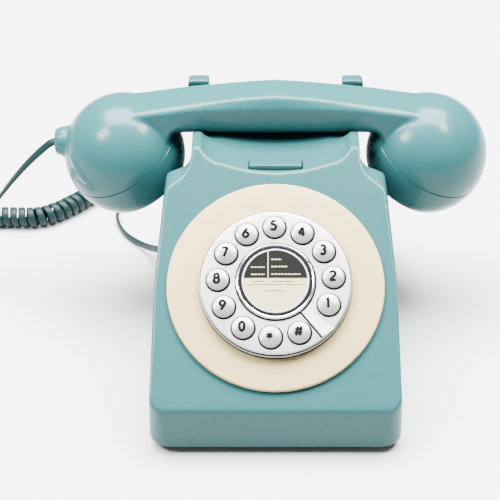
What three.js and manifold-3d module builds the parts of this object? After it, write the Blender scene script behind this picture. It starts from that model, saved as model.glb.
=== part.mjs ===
// Desk telephone with a ring of push keys on a round dial plate and a lift-off handset.
// Millimetres, +Z up. The front faces -Y, +X is to the right, the desk is at z = 0.
import * as THREE from 'three';
import { mergeVertices } from 'three/addons/utils/BufferGeometryUtils.js';
import Module from 'manifold-3d';

const wasm = await Module();
wasm.setup();

// ---------------------------------------------------------------- driving dimensions
const GAP = 0.3; // clearance between two pieces that seat on each other
const RUN = 0.5; // clearance round a piece that moves

// housing
const BODY_DEPTH = 200;
const BODY_HALF_WIDTH = 65.5; // at the desk
const CREASE_INSET = 1; // each side draws in by this where the front wall meets the dial face
const SHOULDER_INSET = 7; // and by this at the top corners of the dial face
const NECK_HALF_WIDTH = 45; // of the block that carries the cradle
const WALL = 2.6;
const FOOT_HEIGHT = 4;
const FRONT_WALL_HEIGHT = 24;
const FRONT_DRAFT = 1;
const FACE_SLOPE = THREE.MathUtils.degToRad(35);
const SHOULDER_ALONG_FACE = 120.5; // from the crease, measured up the slope
const NECK_ALONG_FACE = 132;
const LIP_ALONG_FACE = 130; // lowest point of the cradle's front lip
const HORN_ALONG_FACE = 145; // tips of the two front horns
const CORNER_RADIUS = 11; // of the housing in plan, at the desk
const REAR_CORNER_RADIUS = 20;
const REAR_WALL_HEIGHT = 44;
const REAR_HORN_TOP = 125;
const REAR_HORN_INSET = 8.4; // from the neck's side to the horn's inner face
const REAR_HORN_FLARE = 3.6; // its tip stands out from the neck's side
const REAR_HORN_THICKNESS = 8;
const NECK_FOOT_FROM_REAR = 10; // where the neck's back wall lands on the rear deck
const SHOULDER_THICKNESS = 6.4; // from the top of the face back to the dome recess
const RECESS_DRAFT = 6; // its front wall leans back by this
const RECESS_FLOOR = 64; // at its front
const FRONT_HORN_WALL = 2.6;
const SCOOP_EDGE_RISE = 3; // floor of the scoop at its corners above its middle
const SCOOP_CORNER = 14;

// handset
const HANDSET_FROM_REAR = 49.5; // centre line of the handle
const HANDLE_WIDTH = 27;
const HANDLE_BOTTOM = 106;
const HANDLE_TOP = 129.5;
const HANDLE_EDGE = 4;
const DOME_RADIUS = 33.7;
const DOME_TO_NECK = 5.5; // clear of the neck's side
const DOME_Z = 88;
const DOME_TILT = THREE.MathUtils.degToRad(28); // the caps face down and inward
const DOME_ROLL = THREE.MathUtils.degToRad(12); // and a little back
const SEAM_ABOVE_CENTRE = 3;
const CAP_HEIGHT = 23.3;
const CAP_FACE_RADIUS = 26;
const HANDSET_WALL = 2.5;
const BOSS_RADIUS = 8.6;
const BOSS_STAND_OUT = 4.5;
const BOSS_Z = 95.5;
const BOSS_LENGTH = 14;
const GLAND_RADIUS = 6;

// dial
const DIAL_ALONG_FACE = 66.5; // centre of the dial, up the slope from the crease
const SURROUND_RADIUS = 56.5;
const SURROUND_THICKNESS = 2.2;
const PLATE_MARGIN = 3.4; // from the keys to the plate's rim
const PLATE_RISE = 8; // top of the plate above the face
const PLATE_SKIN = 2;
const PLATE_SIDE = 2;
const KEY_RADIUS = 5.7;
const KEY_WEB = 3.5; // between two keys
const KEY_FLANGE = 0.7; // stops the key from coming out through its hole
const KEY_PITCH = THREE.MathUtils.degToRad(28.95);
const FIRST_KEY_ANGLE = THREE.MathUtils.degToRad(-24.5);
const KEY_NAMES = ['1', '2', '3', '4', '5', '6', '7', '8', '9', '0', 'star', 'hash'];
const KEY_STAND_OUT = 2.4; // crown of a key above the plate
const KEY_TRAVEL = 1.5;
const STOP_ANGLE = THREE.MathUtils.degToRad(-51);
const BEZEL_RADIUS = 20.3;
const REDIAL_RADIUS = 17.3;
const REDIAL_TRAVEL = 1.2;

// hook switch
const HOOK_HALF_WIDTH = 14;
const HOOK_DEPTH = 7.5;
const HOOK_BEHIND_LIP = 3;
const HOOK_PAD_WIDTH = 16; // of the pad that the handle presses
const HOOK_PAD_DEPTH = 10;
const HOOK_PAD_BEHIND = 2; // its middle behind the handle's
const HOOK_TRAVEL = 4;

// fixings and sockets
const SCREW_RADIUS = 1.5;
const SCREW_HEAD_RADIUS = 3.4;
const PLATE_THICKNESS = 3.2; // of the base plate
const BOARD_THICKNESS = 1.6;
const JACK_FROM_REAR = 38; // handset socket, in the left wall
const JACK_Z = 13;
const LINE_JACK_X = 24;
const SWITCH_X = -24;
const SWITCH_TRAVEL = 4;
const SWITCH_STAND_OUT = 0.6;
const SWITCH_HALF = 1.8;

// cord between handset and housing
const CORD_RADIUS = 2.1;
const CURL_RADIUS = 6.5;

// ---------------------------------------------------------------- derived places
const FRONT_Y = -BODY_DEPTH / 2;
const REAR_Y = BODY_DEPTH / 2;
const CREASE_Z = FOOT_HEIGHT + FRONT_WALL_HEIGHT;
const CREASE_HALF_WIDTH = BODY_HALF_WIDTH - CREASE_INSET;
const SHOULDER_HALF_WIDTH = BODY_HALF_WIDTH - SHOULDER_INSET;
const SCOOP_HALF_WIDTH = NECK_HALF_WIDTH - FRONT_HORN_WALL;
const REAR_HORN_INNER = NECK_HALF_WIDTH - REAR_HORN_INSET;
const REAR_HORN_OUTER = NECK_HALF_WIDTH + REAR_HORN_FLARE;
const up = Math.sin(FACE_SLOPE);
const back = Math.cos(FACE_SLOPE);
const faceY = (along) => FRONT_Y + along * back;
const faceZ = (along) => CREASE_Z + along * up;
const LIP_Y = faceY(LIP_ALONG_FACE);
const LIP_Z = faceZ(LIP_ALONG_FACE);
const HORN_Z = faceZ(HORN_ALONG_FACE);
const HANDSET_Y = REAR_Y - HANDSET_FROM_REAR;
const JACK_Y = REAR_Y - JACK_FROM_REAR;
const CHANNEL_FRONT = HANDSET_Y - HANDLE_WIDTH / 2 - 1.5;
const CHANNEL_REAR = HANDSET_Y + HANDLE_WIDTH / 2 + 1.5;
const SEAT_Z = HANDLE_BOTTOM - GAP;
const REAR_DECK_Z = FOOT_HEIGHT + REAR_WALL_HEIGHT;
const BASE_PLATE_TOP = FOOT_HEIGHT + PLATE_THICKNESS;
const BOARD_Z = BASE_PLATE_TOP + 8;
const SURROUND_TOP = GAP + SURROUND_THICKNESS;
const PLATE_FOOT = SURROUND_TOP + GAP;
const KEY_CIRCLE = (KEY_RADIUS + KEY_WEB / 2) / Math.sin(KEY_PITCH / 2);
const PLATE_RADIUS = KEY_CIRCLE + KEY_RADIUS + PLATE_MARGIN;
const DOME_X = NECK_HALF_WIDTH + DOME_TO_NECK + DOME_RADIUS;
const HANDSET_END = DOME_X + DOME_RADIUS;
const BOSS_FACE = -HANDSET_END - BOSS_STAND_OUT;
const FAR = 400;

// ---------------------------------------------------------------- helpers
const material = (color, roughness, metalness = 0) =>
  new THREE.MeshStandardMaterial({ color, roughness, metalness });

const shade = {
  teal: 0x8fb9bb,
  cream: 0xe8dfcb,
  silver: 0xdcdcda,
  key: 0xb9bab6,
  chrome: 0xd8dadb,
  black: 0x1c1d1c,
  rubber: 0x2a2b2b,
  board: 0x2f6b45,
  steel: 0x9a9c9e,
  label: 0xdcd8c0,
  cord: 0x5d8483,
  clear: 0xd9dde0,
};

function solid(geometry) {
  const bare = geometry.index ? geometry.toNonIndexed() : geometry.clone();
  bare.deleteAttribute('normal');
  bare.deleteAttribute('uv');
  const merged = mergeVertices(bare, 1e-4);
  const place = merged.attributes.position;
  const corners = Uint32Array.from(merged.index.array);
  const a = new THREE.Vector3();
  const b = new THREE.Vector3();
  const c = new THREE.Vector3();
  let volume = 0;
  for (let i = 0; i < corners.length; i += 3) {
    a.fromBufferAttribute(place, corners[i]);
    b.fromBufferAttribute(place, corners[i + 1]);
    c.fromBufferAttribute(place, corners[i + 2]);
    volume += a.dot(b.cross(c));
  }
  if (volume < 0) {
    for (let i = 0; i < corners.length; i += 3) {
      const swap = corners[i + 1];
      corners[i + 1] = corners[i + 2];
      corners[i + 2] = swap;
    }
  }
  const vertProperties = Float32Array.from(place.array);
  return new wasm.Manifold(new wasm.Mesh({ numProp: 3, vertProperties, triVerts: corners }));
}

function geometryOf(piece) {
  const mesh = piece.getMesh();
  const geometry = new THREE.BufferGeometry();
  geometry.setAttribute('position', new THREE.BufferAttribute(mesh.vertProperties, 3));
  geometry.setIndex(new THREE.BufferAttribute(mesh.triVerts, 1));
  const flat = geometry.toNonIndexed();
  flat.computeVertexNormals();
  return flat;
}

const group = new THREE.Group();

function add(name, piece, finish, parent = group) {
  const mesh = new THREE.Mesh(geometryOf(piece), finish);
  mesh.name = name;
  parent.add(mesh);
  return mesh;
}

function outline(points) {
  return new THREE.Shape(points.map(([a, b]) => new THREE.Vector2(a, b)));
}

// moves every edge of a counter-clockwise outline inward by one distance
function inset(points, distance) {
  const count = points.length;
  const edges = points.map((p, i) => {
    const q = points[(i + 1) % count];
    const length = Math.hypot(q[0] - p[0], q[1] - p[1]);
    const direction = [(q[0] - p[0]) / length, (q[1] - p[1]) / length];
    const start = [p[0] - direction[1] * distance, p[1] + direction[0] * distance];
    return { start, direction };
  });
  return edges.map((edge, i) => {
    const before = edges[(i + count - 1) % count];
    const cross = before.direction[0] * edge.direction[1] - before.direction[1] * edge.direction[0];
    const dx = edge.start[0] - before.start[0];
    const dy = edge.start[1] - before.start[1];
    const t = (dx * edge.direction[1] - dy * edge.direction[0]) / cross;
    return [before.start[0] + before.direction[0] * t, before.start[1] + before.direction[1] * t];
  });
}

const axesAlongX = new THREE.Matrix4().makeBasis(
  new THREE.Vector3(0, 1, 0), new THREE.Vector3(0, 0, 1), new THREE.Vector3(1, 0, 0));
const axesAlongY = new THREE.Matrix4().makeBasis(
  new THREE.Vector3(1, 0, 0), new THREE.Vector3(0, 0, 1), new THREE.Vector3(0, -1, 0));

// a (y, z) outline carried from x = low to x = high
function alongX(shape, low, high) {
  const geometry = new THREE.ExtrudeGeometry(shape, {
    depth: high - low, bevelEnabled: false, curveSegments: 6 });
  return solid(geometry.translate(0, 0, low).applyMatrix4(axesAlongX));
}

// an (x, z) outline carried from y = low to y = high
function alongY(shape, low, high) {
  const geometry = new THREE.ExtrudeGeometry(shape, {
    depth: high - low, bevelEnabled: false, curveSegments: 6 });
  return solid(geometry.translate(0, 0, -high).applyMatrix4(axesAlongY));
}

// an (x, y) outline carried from z = low to z = high
function alongZ(shape, low, high) {
  const geometry = new THREE.ExtrudeGeometry(shape, {
    depth: high - low, bevelEnabled: false, curveSegments: 5 });
  return solid(geometry.translate(0, 0, low));
}

function box(lowX, highX, lowY, highY, lowZ, highZ) {
  const geometry = new THREE.BoxGeometry(highX - lowX, highY - lowY, highZ - lowZ);
  return solid(geometry.translate((lowX + highX) / 2, (lowY + highY) / 2, (lowZ + highZ) / 2));
}

function rod(radius, low, high, sides = 20, x = 0, y = 0, topRadius = radius) {
  const geometry = new THREE.CylinderGeometry(topRadius, radius, high - low, sides);
  return solid(geometry.rotateX(Math.PI / 2).translate(x, y, (low + high) / 2));
}

// [radius, height] points turned about the Z axis
function turned(profile, sides) {
  const points = profile.map(([r, h]) => new THREE.Vector2(r, h));
  return solid(new THREE.LatheGeometry(points, sides).rotateX(Math.PI / 2));
}

function ring(profile, sides) {
  return turned([...profile, profile[0]], sides);
}

const moved = (piece, x, y, z) => piece.translate([x, y, z]);
const union = (pieces) => pieces.reduce((whole, piece) => whole.add(piece));

// ---------------------------------------------------------------- housing
function planOutline(shrink) {
  const w = BODY_HALF_WIDTH - shrink;
  const front = FRONT_Y - FRONT_DRAFT + shrink;
  const rear = REAR_Y - shrink;
  const r = CORNER_RADIUS - shrink;
  const s = REAR_CORNER_RADIUS - shrink;
  const shape = new THREE.Shape();
  shape.moveTo(-w + r, front);
  shape.lineTo(w - r, front);
  shape.absarc(w - r, front + r, r, -Math.PI / 2, 0, false);
  shape.lineTo(w, rear - s);
  shape.absarc(w - s, rear - s, s, 0, Math.PI / 2, false);
  shape.lineTo(-w + s, rear);
  shape.absarc(-w + s, rear - s, s, Math.PI / 2, Math.PI, false);
  shape.lineTo(-w, front + r);
  shape.absarc(-w + r, front + r, r, Math.PI, Math.PI * 1.5, false);
  return shape;
}

// seen from the side
const sideOutline = [
  [FRONT_Y - FRONT_DRAFT, FOOT_HEIGHT],
  [REAR_Y, FOOT_HEIGHT],
  [REAR_Y - 2, REAR_DECK_Z],
  [REAR_Y - NECK_FOOT_FROM_REAR, REAR_DECK_Z + 2],
  [CHANNEL_REAR + REAR_HORN_THICKNESS, REAR_HORN_TOP],
  [HANDSET_Y, REAR_HORN_TOP],
  [HANDSET_Y - 2, HORN_Z],
  [faceY(HORN_ALONG_FACE), HORN_Z],
  [FRONT_Y, CREASE_Z],
];

// seen from the front
const midFace = SHOULDER_ALONG_FACE * 0.55;
const rightEdge = [
  [BODY_HALF_WIDTH, FOOT_HEIGHT],
  [CREASE_HALF_WIDTH, CREASE_Z],
  [CREASE_HALF_WIDTH - 1.2, faceZ(midFace)],
  [SHOULDER_HALF_WIDTH + 2.6, faceZ((midFace + SHOULDER_ALONG_FACE) / 2)],
  [SHOULDER_HALF_WIDTH, faceZ(SHOULDER_ALONG_FACE)],
  [NECK_HALF_WIDTH, faceZ(NECK_ALONG_FACE)],
  [NECK_HALF_WIDTH + 0.3, REAR_HORN_TOP + 1],
];
const frontOutline = [...rightEdge, ...rightEdge.map(([x, z]) => [-x, z]).reverse()];

// room beside the neck for the two round ends of the handset
function domeRecess(side, grow) {
  const foot = faceY(NECK_ALONG_FACE) + SHOULDER_THICKNESS;
  const points = inset([
    [foot, faceZ(NECK_ALONG_FACE) + 2],
    [foot + RECESS_DRAFT, RECESS_FLOOR],
    [REAR_Y + 20, REAR_DECK_Z - 4],
    [REAR_Y + 20, FAR],
    [foot, FAR],
  ], -grow);
  const inner = NECK_HALF_WIDTH - grow;
  return side > 0 ? alongX(outline(points), inner, FAR) : alongX(outline(points), -FAR, -inner);
}

// the cradle's scoop, open to the front and the back
function scoop(grow) {
  const w = SCOOP_HALF_WIDTH + grow;
  const floor = LIP_Z - grow;
  const edge = floor + SCOOP_EDGE_RISE;
  const bend = w - SCOOP_CORNER;
  const shape = new THREE.Shape();
  shape.moveTo(w, FAR);
  shape.lineTo(-w, FAR);
  shape.lineTo(-w, edge + SCOOP_CORNER);
  shape.quadraticCurveTo(-w, edge + 1, -bend, edge);
  shape.quadraticCurveTo(0, floor * 2 - edge, bend, edge);
  shape.quadraticCurveTo(w, edge + 1, w, edge + SCOOP_CORNER);
  return alongY(shape, FRONT_Y, CHANNEL_REAR + grow);
}

// the gap between the two rear horns
function rearGap(grow) {
  const w = REAR_HORN_INNER + grow;
  return box(-w, w, CHANNEL_REAR - 1, REAR_Y + 10, LIP_Z - grow, FAR);
}

// the way through for the handle
function handleChannel(grow) {
  return box(-FAR, FAR, CHANNEL_FRONT - grow, CHANNEL_REAR + grow, SEAT_Z - grow, FAR);
}

// solid post behind the handle, spreading outward as it rises
function rearHorn(side) {
  const foot = REAR_DECK_Z;
  const points = [[REAR_HORN_INNER, foot], [NECK_HALF_WIDTH - WALL / 2, foot],
    [REAR_HORN_OUTER, REAR_HORN_TOP - 10], [REAR_HORN_OUTER, REAR_HORN_TOP],
    [REAR_HORN_INNER, REAR_HORN_TOP]];
  const shape = outline(points.map(([x, z]) => [side * x, z]));
  return alongY(shape, CHANNEL_REAR, CHANNEL_REAR + REAR_HORN_THICKNESS);
}

function housing(shrink) {
  const side = alongX(outline(inset(sideOutline, shrink)), -BODY_HALF_WIDTH, BODY_HALF_WIDTH);
  const front = alongY(outline(inset(frontOutline, shrink)), FRONT_Y - 5, REAR_Y + 5);
  const plan = alongZ(planOutline(shrink), -20, REAR_HORN_TOP + 20);
  let block = side.intersect(front).intersect(plan);
  for (const cut of [domeRecess(1, shrink), domeRecess(-1, shrink), scoop(shrink),
    rearGap(shrink), handleChannel(shrink)]) {
    block = block.subtract(cut);
  }
  return block;
}

const dialFrame = new THREE.Group();
dialFrame.position.set(0, faceY(DIAL_ALONG_FACE), faceZ(DIAL_ALONG_FACE));
dialFrame.rotation.x = FACE_SLOPE;
dialFrame.updateMatrix();
group.add(dialFrame);

function inDialFrame(piece) {
  return piece.transform(dialFrame.matrix.toArray());
}

const SPIGOT_RADIUS = PLATE_RADIUS + 7.1;
const SPIGOT_BORE = SPIGOT_RADIUS - 2.5;
const SURROUND_BORE = PLATE_RADIUS - 4;
const hookFront = LIP_Y + HOOK_BEHIND_LIP;
const hookRear = hookFront + HOOK_DEPTH;
const padFront = HANDSET_Y + HOOK_PAD_BEHIND - HOOK_PAD_DEPTH / 2;
const padRear = padFront + HOOK_PAD_DEPTH;
const bossPlaces = [[-1, -1], [1, -1], [-1, 1], [1, 1]].map(([sx, sy]) => [
  sx * (BODY_HALF_WIDTH - 13), sy > 0 ? REAR_Y - 20 : FRONT_Y + 17]);
const footPlaces = bossPlaces.map(([x, y]) => [x - Math.sign(x) * 2, y - Math.sign(y) * 13]);

const JACK_HALF = 5.4; // half width and half height of a modular socket's body
const JACK_DEPTH = 13;
const PLUG_HALF_WIDTH = 3.8;
const PLUG_HALF_HEIGHT = 3.1;
const PLUG_LENGTH = 11;

{
  const skin = union([housing(0), rearHorn(1), rearHorn(-1)]);
  const hollow = housing(WALL).add(alongZ(planOutline(WALL), -1, BASE_PLATE_TOP + 1));
  let shell = skin.subtract(hollow);
  for (const [x, y] of bossPlaces) {
    const post = rod(4, BASE_PLATE_TOP + GAP, REAR_HORN_TOP, 12, x, y).intersect(skin);
    shell = shell.add(post);
    shell = shell.subtract(rod(SCREW_RADIUS + GAP, 0, BASE_PLATE_TOP + 10, 10, x, y));
  }
  shell = shell.subtract(inDialFrame(rod(SPIGOT_RADIUS + GAP, -12, 12, 48)));
  shell = shell.subtract(box(-HOOK_HALF_WIDTH - RUN, HOOK_HALF_WIDTH + RUN,
    hookFront - RUN, hookRear + RUN, LIP_Z - 12, LIP_Z + 12));
  shell = shell.subtract(box(-HOOK_PAD_WIDTH / 2 - RUN, HOOK_PAD_WIDTH / 2 + RUN,
    padFront - RUN, padRear + RUN, LIP_Z - 12, LIP_Z + 12));
  shell = shell.subtract(box(-BODY_HALF_WIDTH - 5, -BODY_HALF_WIDTH + 9,
    JACK_Y - PLUG_HALF_WIDTH - RUN, JACK_Y + PLUG_HALF_WIDTH + RUN,
    JACK_Z - PLUG_HALF_HEIGHT - RUN, JACK_Z + PLUG_HALF_HEIGHT + RUN));
  shell = shell.subtract(box(LINE_JACK_X - 5.2, LINE_JACK_X + 5.2, REAR_Y - 9, REAR_Y + 5,
    JACK_Z - 3.8, JACK_Z + 3.8));
  shell = shell.subtract(box(SWITCH_X - SWITCH_HALF - SWITCH_TRAVEL / 2 - RUN,
    SWITCH_X + SWITCH_HALF + SWITCH_TRAVEL / 2 + RUN, REAR_Y - 9, REAR_Y + 5,
    JACK_Z - 2.4, JACK_Z + 2.4));
  add('body_shell', shell, material(shade.teal, 0.25));
}

// ---------------------------------------------------------------- base plate and what stands on it
const SPEAKER_Y = -50;
const SPEAKER_RADIUS = 25;
const BALLAST_Y = 52;
const BOARD_X = 0;
const BOARD_Y = 8;
{
  let plate = alongZ(planOutline(WALL + GAP), FOOT_HEIGHT, BASE_PLATE_TOP);
  for (const [x, y] of bossPlaces) {
    plate = plate.subtract(rod(SCREW_RADIUS + GAP, 0, 20, 10, x, y));
    plate = plate.subtract(rod(SCREW_HEAD_RADIUS + GAP, 0, FOOT_HEIGHT + 1.9, 16, x, y));
  }
  for (let i = -3; i <= 3; i += 1) {
    const half = Math.sqrt(18 ** 2 - (i * 5) ** 2);
    plate = plate.subtract(box(-half, half, SPEAKER_Y + i * 5 - 1.1, SPEAKER_Y + i * 5 + 1.1, 0, 20));
  }
  for (const sx of [-1, 1]) {
    for (const sy of [-1, 1]) {
      const post = rod(3, BASE_PLATE_TOP - 1, BOARD_Z - GAP, 10, BOARD_X + sx * 40, BOARD_Y + sy * 24);
      plate = plate.add(post);
    }
  }
  add('base_plate', plate, material(shade.black, 0.6));
}

bossPlaces.forEach(([x, y], i) => {
  const head = rod(SCREW_HEAD_RADIUS, FOOT_HEIGHT + 0.1, FOOT_HEIGHT + 1.6, 16, x, y);
  const shank = rod(SCREW_RADIUS, FOOT_HEIGHT + 1.2, BASE_PLATE_TOP + 9, 10, x, y);
  const slots = box(x - 2, x + 2, y - 0.4, y + 0.4, 0, FOOT_HEIGHT + 0.9)
    .add(box(x - 0.4, x + 0.4, y - 2, y + 2, 0, FOOT_HEIGHT + 0.9));
  add(`base_screw_${i + 1}`, head.add(shank).subtract(slots), material(shade.steel, 0.35, 0.9));
});

footPlaces.forEach(([x, y], i) => {
  add(`foot_${i + 1}`, rod(7, 0, FOOT_HEIGHT - GAP, 20, x, y), material(shade.rubber, 0.9));
});

{
  let board = box(BOARD_X - 45, BOARD_X + 45, BOARD_Y - 29, BOARD_Y + 29, BOARD_Z,
    BOARD_Z + BOARD_THICKNESS);
  for (const [x, y, w, d, h] of [[-26, -10, 9, 9, 3], [8, 6, 14, 8, 2.5], [28, -12, 6, 6, 8],
    [-8, 18, 5, 12, 5], [30, 16, 8, 5, 6]]) {
    board = board.add(box(BOARD_X + x - w / 2, BOARD_X + x + w / 2, BOARD_Y + y - d / 2,
      BOARD_Y + y + d / 2, BOARD_Z + 1, BOARD_Z + BOARD_THICKNESS + h));
  }
  add('main_board', board, material(shade.board, 0.5));
}

{
  const foot = BASE_PLATE_TOP + GAP;
  const frame = rod(SPEAKER_RADIUS, foot, foot + 2, 24, 0, SPEAKER_Y);
  const basket = rod(SPEAKER_RADIUS - 3, foot + 1.5, foot + 6, 24, 0, SPEAKER_Y, 14);
  const magnet = rod(10, foot + 5, foot + 10, 16, 0, SPEAKER_Y);
  add('ringer_speaker', union([frame, basket, magnet]), material(shade.steel, 0.45, 0.6));
}

add('ballast_plate', box(-40, 40, BALLAST_Y - 8, BALLAST_Y + 18, BASE_PLATE_TOP + GAP,
  BASE_PLATE_TOP + 5.5), material(shade.steel, 0.5, 0.8));

// ---------------------------------------------------------------- dial
function addToDial(name, piece, finish) {
  return add(name, piece, finish, dialFrame);
}

addToDial('dial_surround', ring([
  [SURROUND_BORE, GAP],
  [SPIGOT_BORE, GAP],
  [SPIGOT_BORE, -WALL - 2],
  [SPIGOT_RADIUS, -WALL - 2],
  [SPIGOT_RADIUS, GAP],
  [SURROUND_RADIUS, GAP],
  [SURROUND_RADIUS, GAP + 1.2],
  [SURROUND_RADIUS - 0.9, SURROUND_TOP - 0.2],
  [SURROUND_RADIUS - 2, SURROUND_TOP],
  [SURROUND_BORE, SURROUND_TOP],
], 48), material(shade.cream, 0.35));

const keyHole = KEY_RADIUS + 0.4;
const keyPlaces = KEY_NAMES.map((label, i) => {
  const angle = FIRST_KEY_ANGLE + i * KEY_PITCH;
  return [label, KEY_CIRCLE * Math.cos(angle), KEY_CIRCLE * Math.sin(angle)];
});

{
  let plate = ring([
    [PLATE_RADIUS - PLATE_SIDE, PLATE_FOOT],
    [PLATE_RADIUS, PLATE_FOOT],
    [PLATE_RADIUS - 0.7, PLATE_RISE - 0.5],
    [PLATE_RADIUS - 1.2, PLATE_RISE],
    [REDIAL_RADIUS + 0.5, PLATE_RISE],
    [REDIAL_RADIUS + 0.5, PLATE_RISE - PLATE_SKIN],
    [PLATE_RADIUS - PLATE_SIDE - 0.2, PLATE_RISE - PLATE_SKIN],
  ], 48);
  for (const [, x, y] of keyPlaces) {
    plate = plate.subtract(rod(keyHole, 0, 20, 14, x, y));
  }
  const fin = alongZ(outline([[BEZEL_RADIUS + 1.5, 0], [PLATE_RADIUS - 1.6, 0],
    [PLATE_RADIUS - 1.6, 5], [BEZEL_RADIUS + 1.5, 2.5]]), PLATE_RISE - 0.5, PLATE_RISE + 1.4);
  plate = plate.add(fin.rotate([0, 0, THREE.MathUtils.radToDeg(STOP_ANGLE)]));
  addToDial('dial_plate', plate, material(shade.silver, 0.28, 0.55));
}

const CROWN = PLATE_RISE + KEY_STAND_OUT;
const KEY_FOOT = PLATE_RISE - PLATE_SKIN - GAP - 1.2;
for (const [label, x, y] of keyPlaces) {
  const key = turned([
    [0, KEY_FOOT],
    [KEY_RADIUS + KEY_FLANGE, KEY_FOOT],
    [KEY_RADIUS + KEY_FLANGE, KEY_FOOT + 1.2],
    [KEY_RADIUS, KEY_FOOT + 1.2],
    [KEY_RADIUS, CROWN - 1.4],
    [KEY_RADIUS - 0.9, CROWN - 0.5],
    [0, CROWN],
  ], 14);
  addToDial(`key_${label}`, moved(key, x, y, 0), material(shade.key, 0.3, 0.35));
}

const MAT_TOP = KEY_FOOT - Math.max(KEY_TRAVEL, REDIAL_TRAVEL) - GAP;
const MAT_RADIUS = SURROUND_BORE - GAP;
addToDial('key_mat', ring([
  [11, GAP], [MAT_RADIUS, GAP], [MAT_RADIUS, MAT_TOP], [11, MAT_TOP],
], 40), material(shade.rubber, 0.9));

{
  const disc = rod(SPIGOT_BORE - GAP, -BOARD_THICKNESS, 0, 36);
  const chip = box(-6, 6, -6, 6, -BOARD_THICKNESS - 3, -BOARD_THICKNESS / 2);
  addToDial('keypad_board', disc.add(chip), material(shade.board, 0.5));
}

addToDial('centre_bezel', ring([
  [BEZEL_RADIUS - 1.9, PLATE_RISE + GAP],
  [BEZEL_RADIUS, PLATE_RISE + GAP],
  [BEZEL_RADIUS - 0.3, PLATE_RISE + 1.5],
  [BEZEL_RADIUS - 0.9, PLATE_RISE + 2],
  [BEZEL_RADIUS - 1.9, PLATE_RISE + 1.6],
], 36), material(shade.chrome, 0.12, 1));

addToDial('centre_ring', ring([
  [REDIAL_RADIUS + 0.45, PLATE_RISE + GAP],
  [BEZEL_RADIUS - 2.2, PLATE_RISE + GAP],
  [BEZEL_RADIUS - 2.2, PLATE_RISE + 1.3],
  [REDIAL_RADIUS + 0.45, PLATE_RISE + 1.3],
], 40), material(shade.black, 0.4));

addToDial('redial_key', turned([
  [0, KEY_FOOT],
  [REDIAL_RADIUS, KEY_FOOT],
  [REDIAL_RADIUS, PLATE_RISE + 1.3],
  [REDIAL_RADIUS - 0.5, PLATE_RISE + 1.8],
  [0, PLATE_RISE + 1.9],
], 40), material(shade.label, 0.3));

// ---------------------------------------------------------------- hook switch
const hookTop = LIP_Z + 2.6;
const hookY = (hookFront + hookRear) / 2;
const bridgeTop = LIP_Z - WALL - HOOK_TRAVEL - RUN - 0.5;
const bridgeFoot = bridgeTop - 4;
const STEM_FOOT = LIP_Z - 30;
const SPRING_FOOT = LIP_Z - 44;
{
  const bar = box(-HOOK_HALF_WIDTH, HOOK_HALF_WIDTH, hookFront, hookRear, bridgeFoot, hookTop);
  const bridge = box(-4, 4, hookRear - 1, padRear - 1, bridgeFoot, bridgeTop);
  const pad = box(-HOOK_PAD_WIDTH / 2, HOOK_PAD_WIDTH / 2, padFront, padRear, bridgeFoot,
    HANDLE_BOTTOM - RUN);
  const stem = box(-4, 4, hookY - 3, hookY + 3, STEM_FOOT, bridgeFoot + 1);
  const arm = box(3, 12, hookY - 2, hookY + 2, STEM_FOOT + 1, STEM_FOOT + 4);
  add('hook_bar', union([bar, bridge, pad, stem, arm]), material(shade.teal, 0.25));
}
{
  const springTop = STEM_FOOT - GAP;
  add('hook_spring', moved(ring([[2, 0], [3, 0], [3, springTop - SPRING_FOOT],
    [2, springTop - SPRING_FOOT]], 14), 0, hookY, SPRING_FOOT), material(shade.steel, 0.3, 0.9));
  const shelf = box(-18, 22, hookY - 9, hookY + 9, SPRING_FOOT - GAP - 2.5, SPRING_FOOT - GAP);
  const pillars = [-16.5, 20.5].map((x) => box(x - 1.5, x + 1.5, hookY - 9, hookY + 9,
    SPRING_FOOT - GAP - 1, LIP_Z - WALL - 3 - GAP));
  add('hook_bracket', union([shelf, ...pillars]), material(shade.black, 0.6));
  const body = box(6, 18, hookY - 6, hookY + 6, SPRING_FOOT, STEM_FOOT - 3);
  const nib = box(8, 11, hookY - 1.5, hookY + 1.5, STEM_FOOT - 3.5, STEM_FOOT + 1 - GAP);
  add('hook_microswitch', body.add(nib), material(shade.black, 0.5));
}

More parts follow.
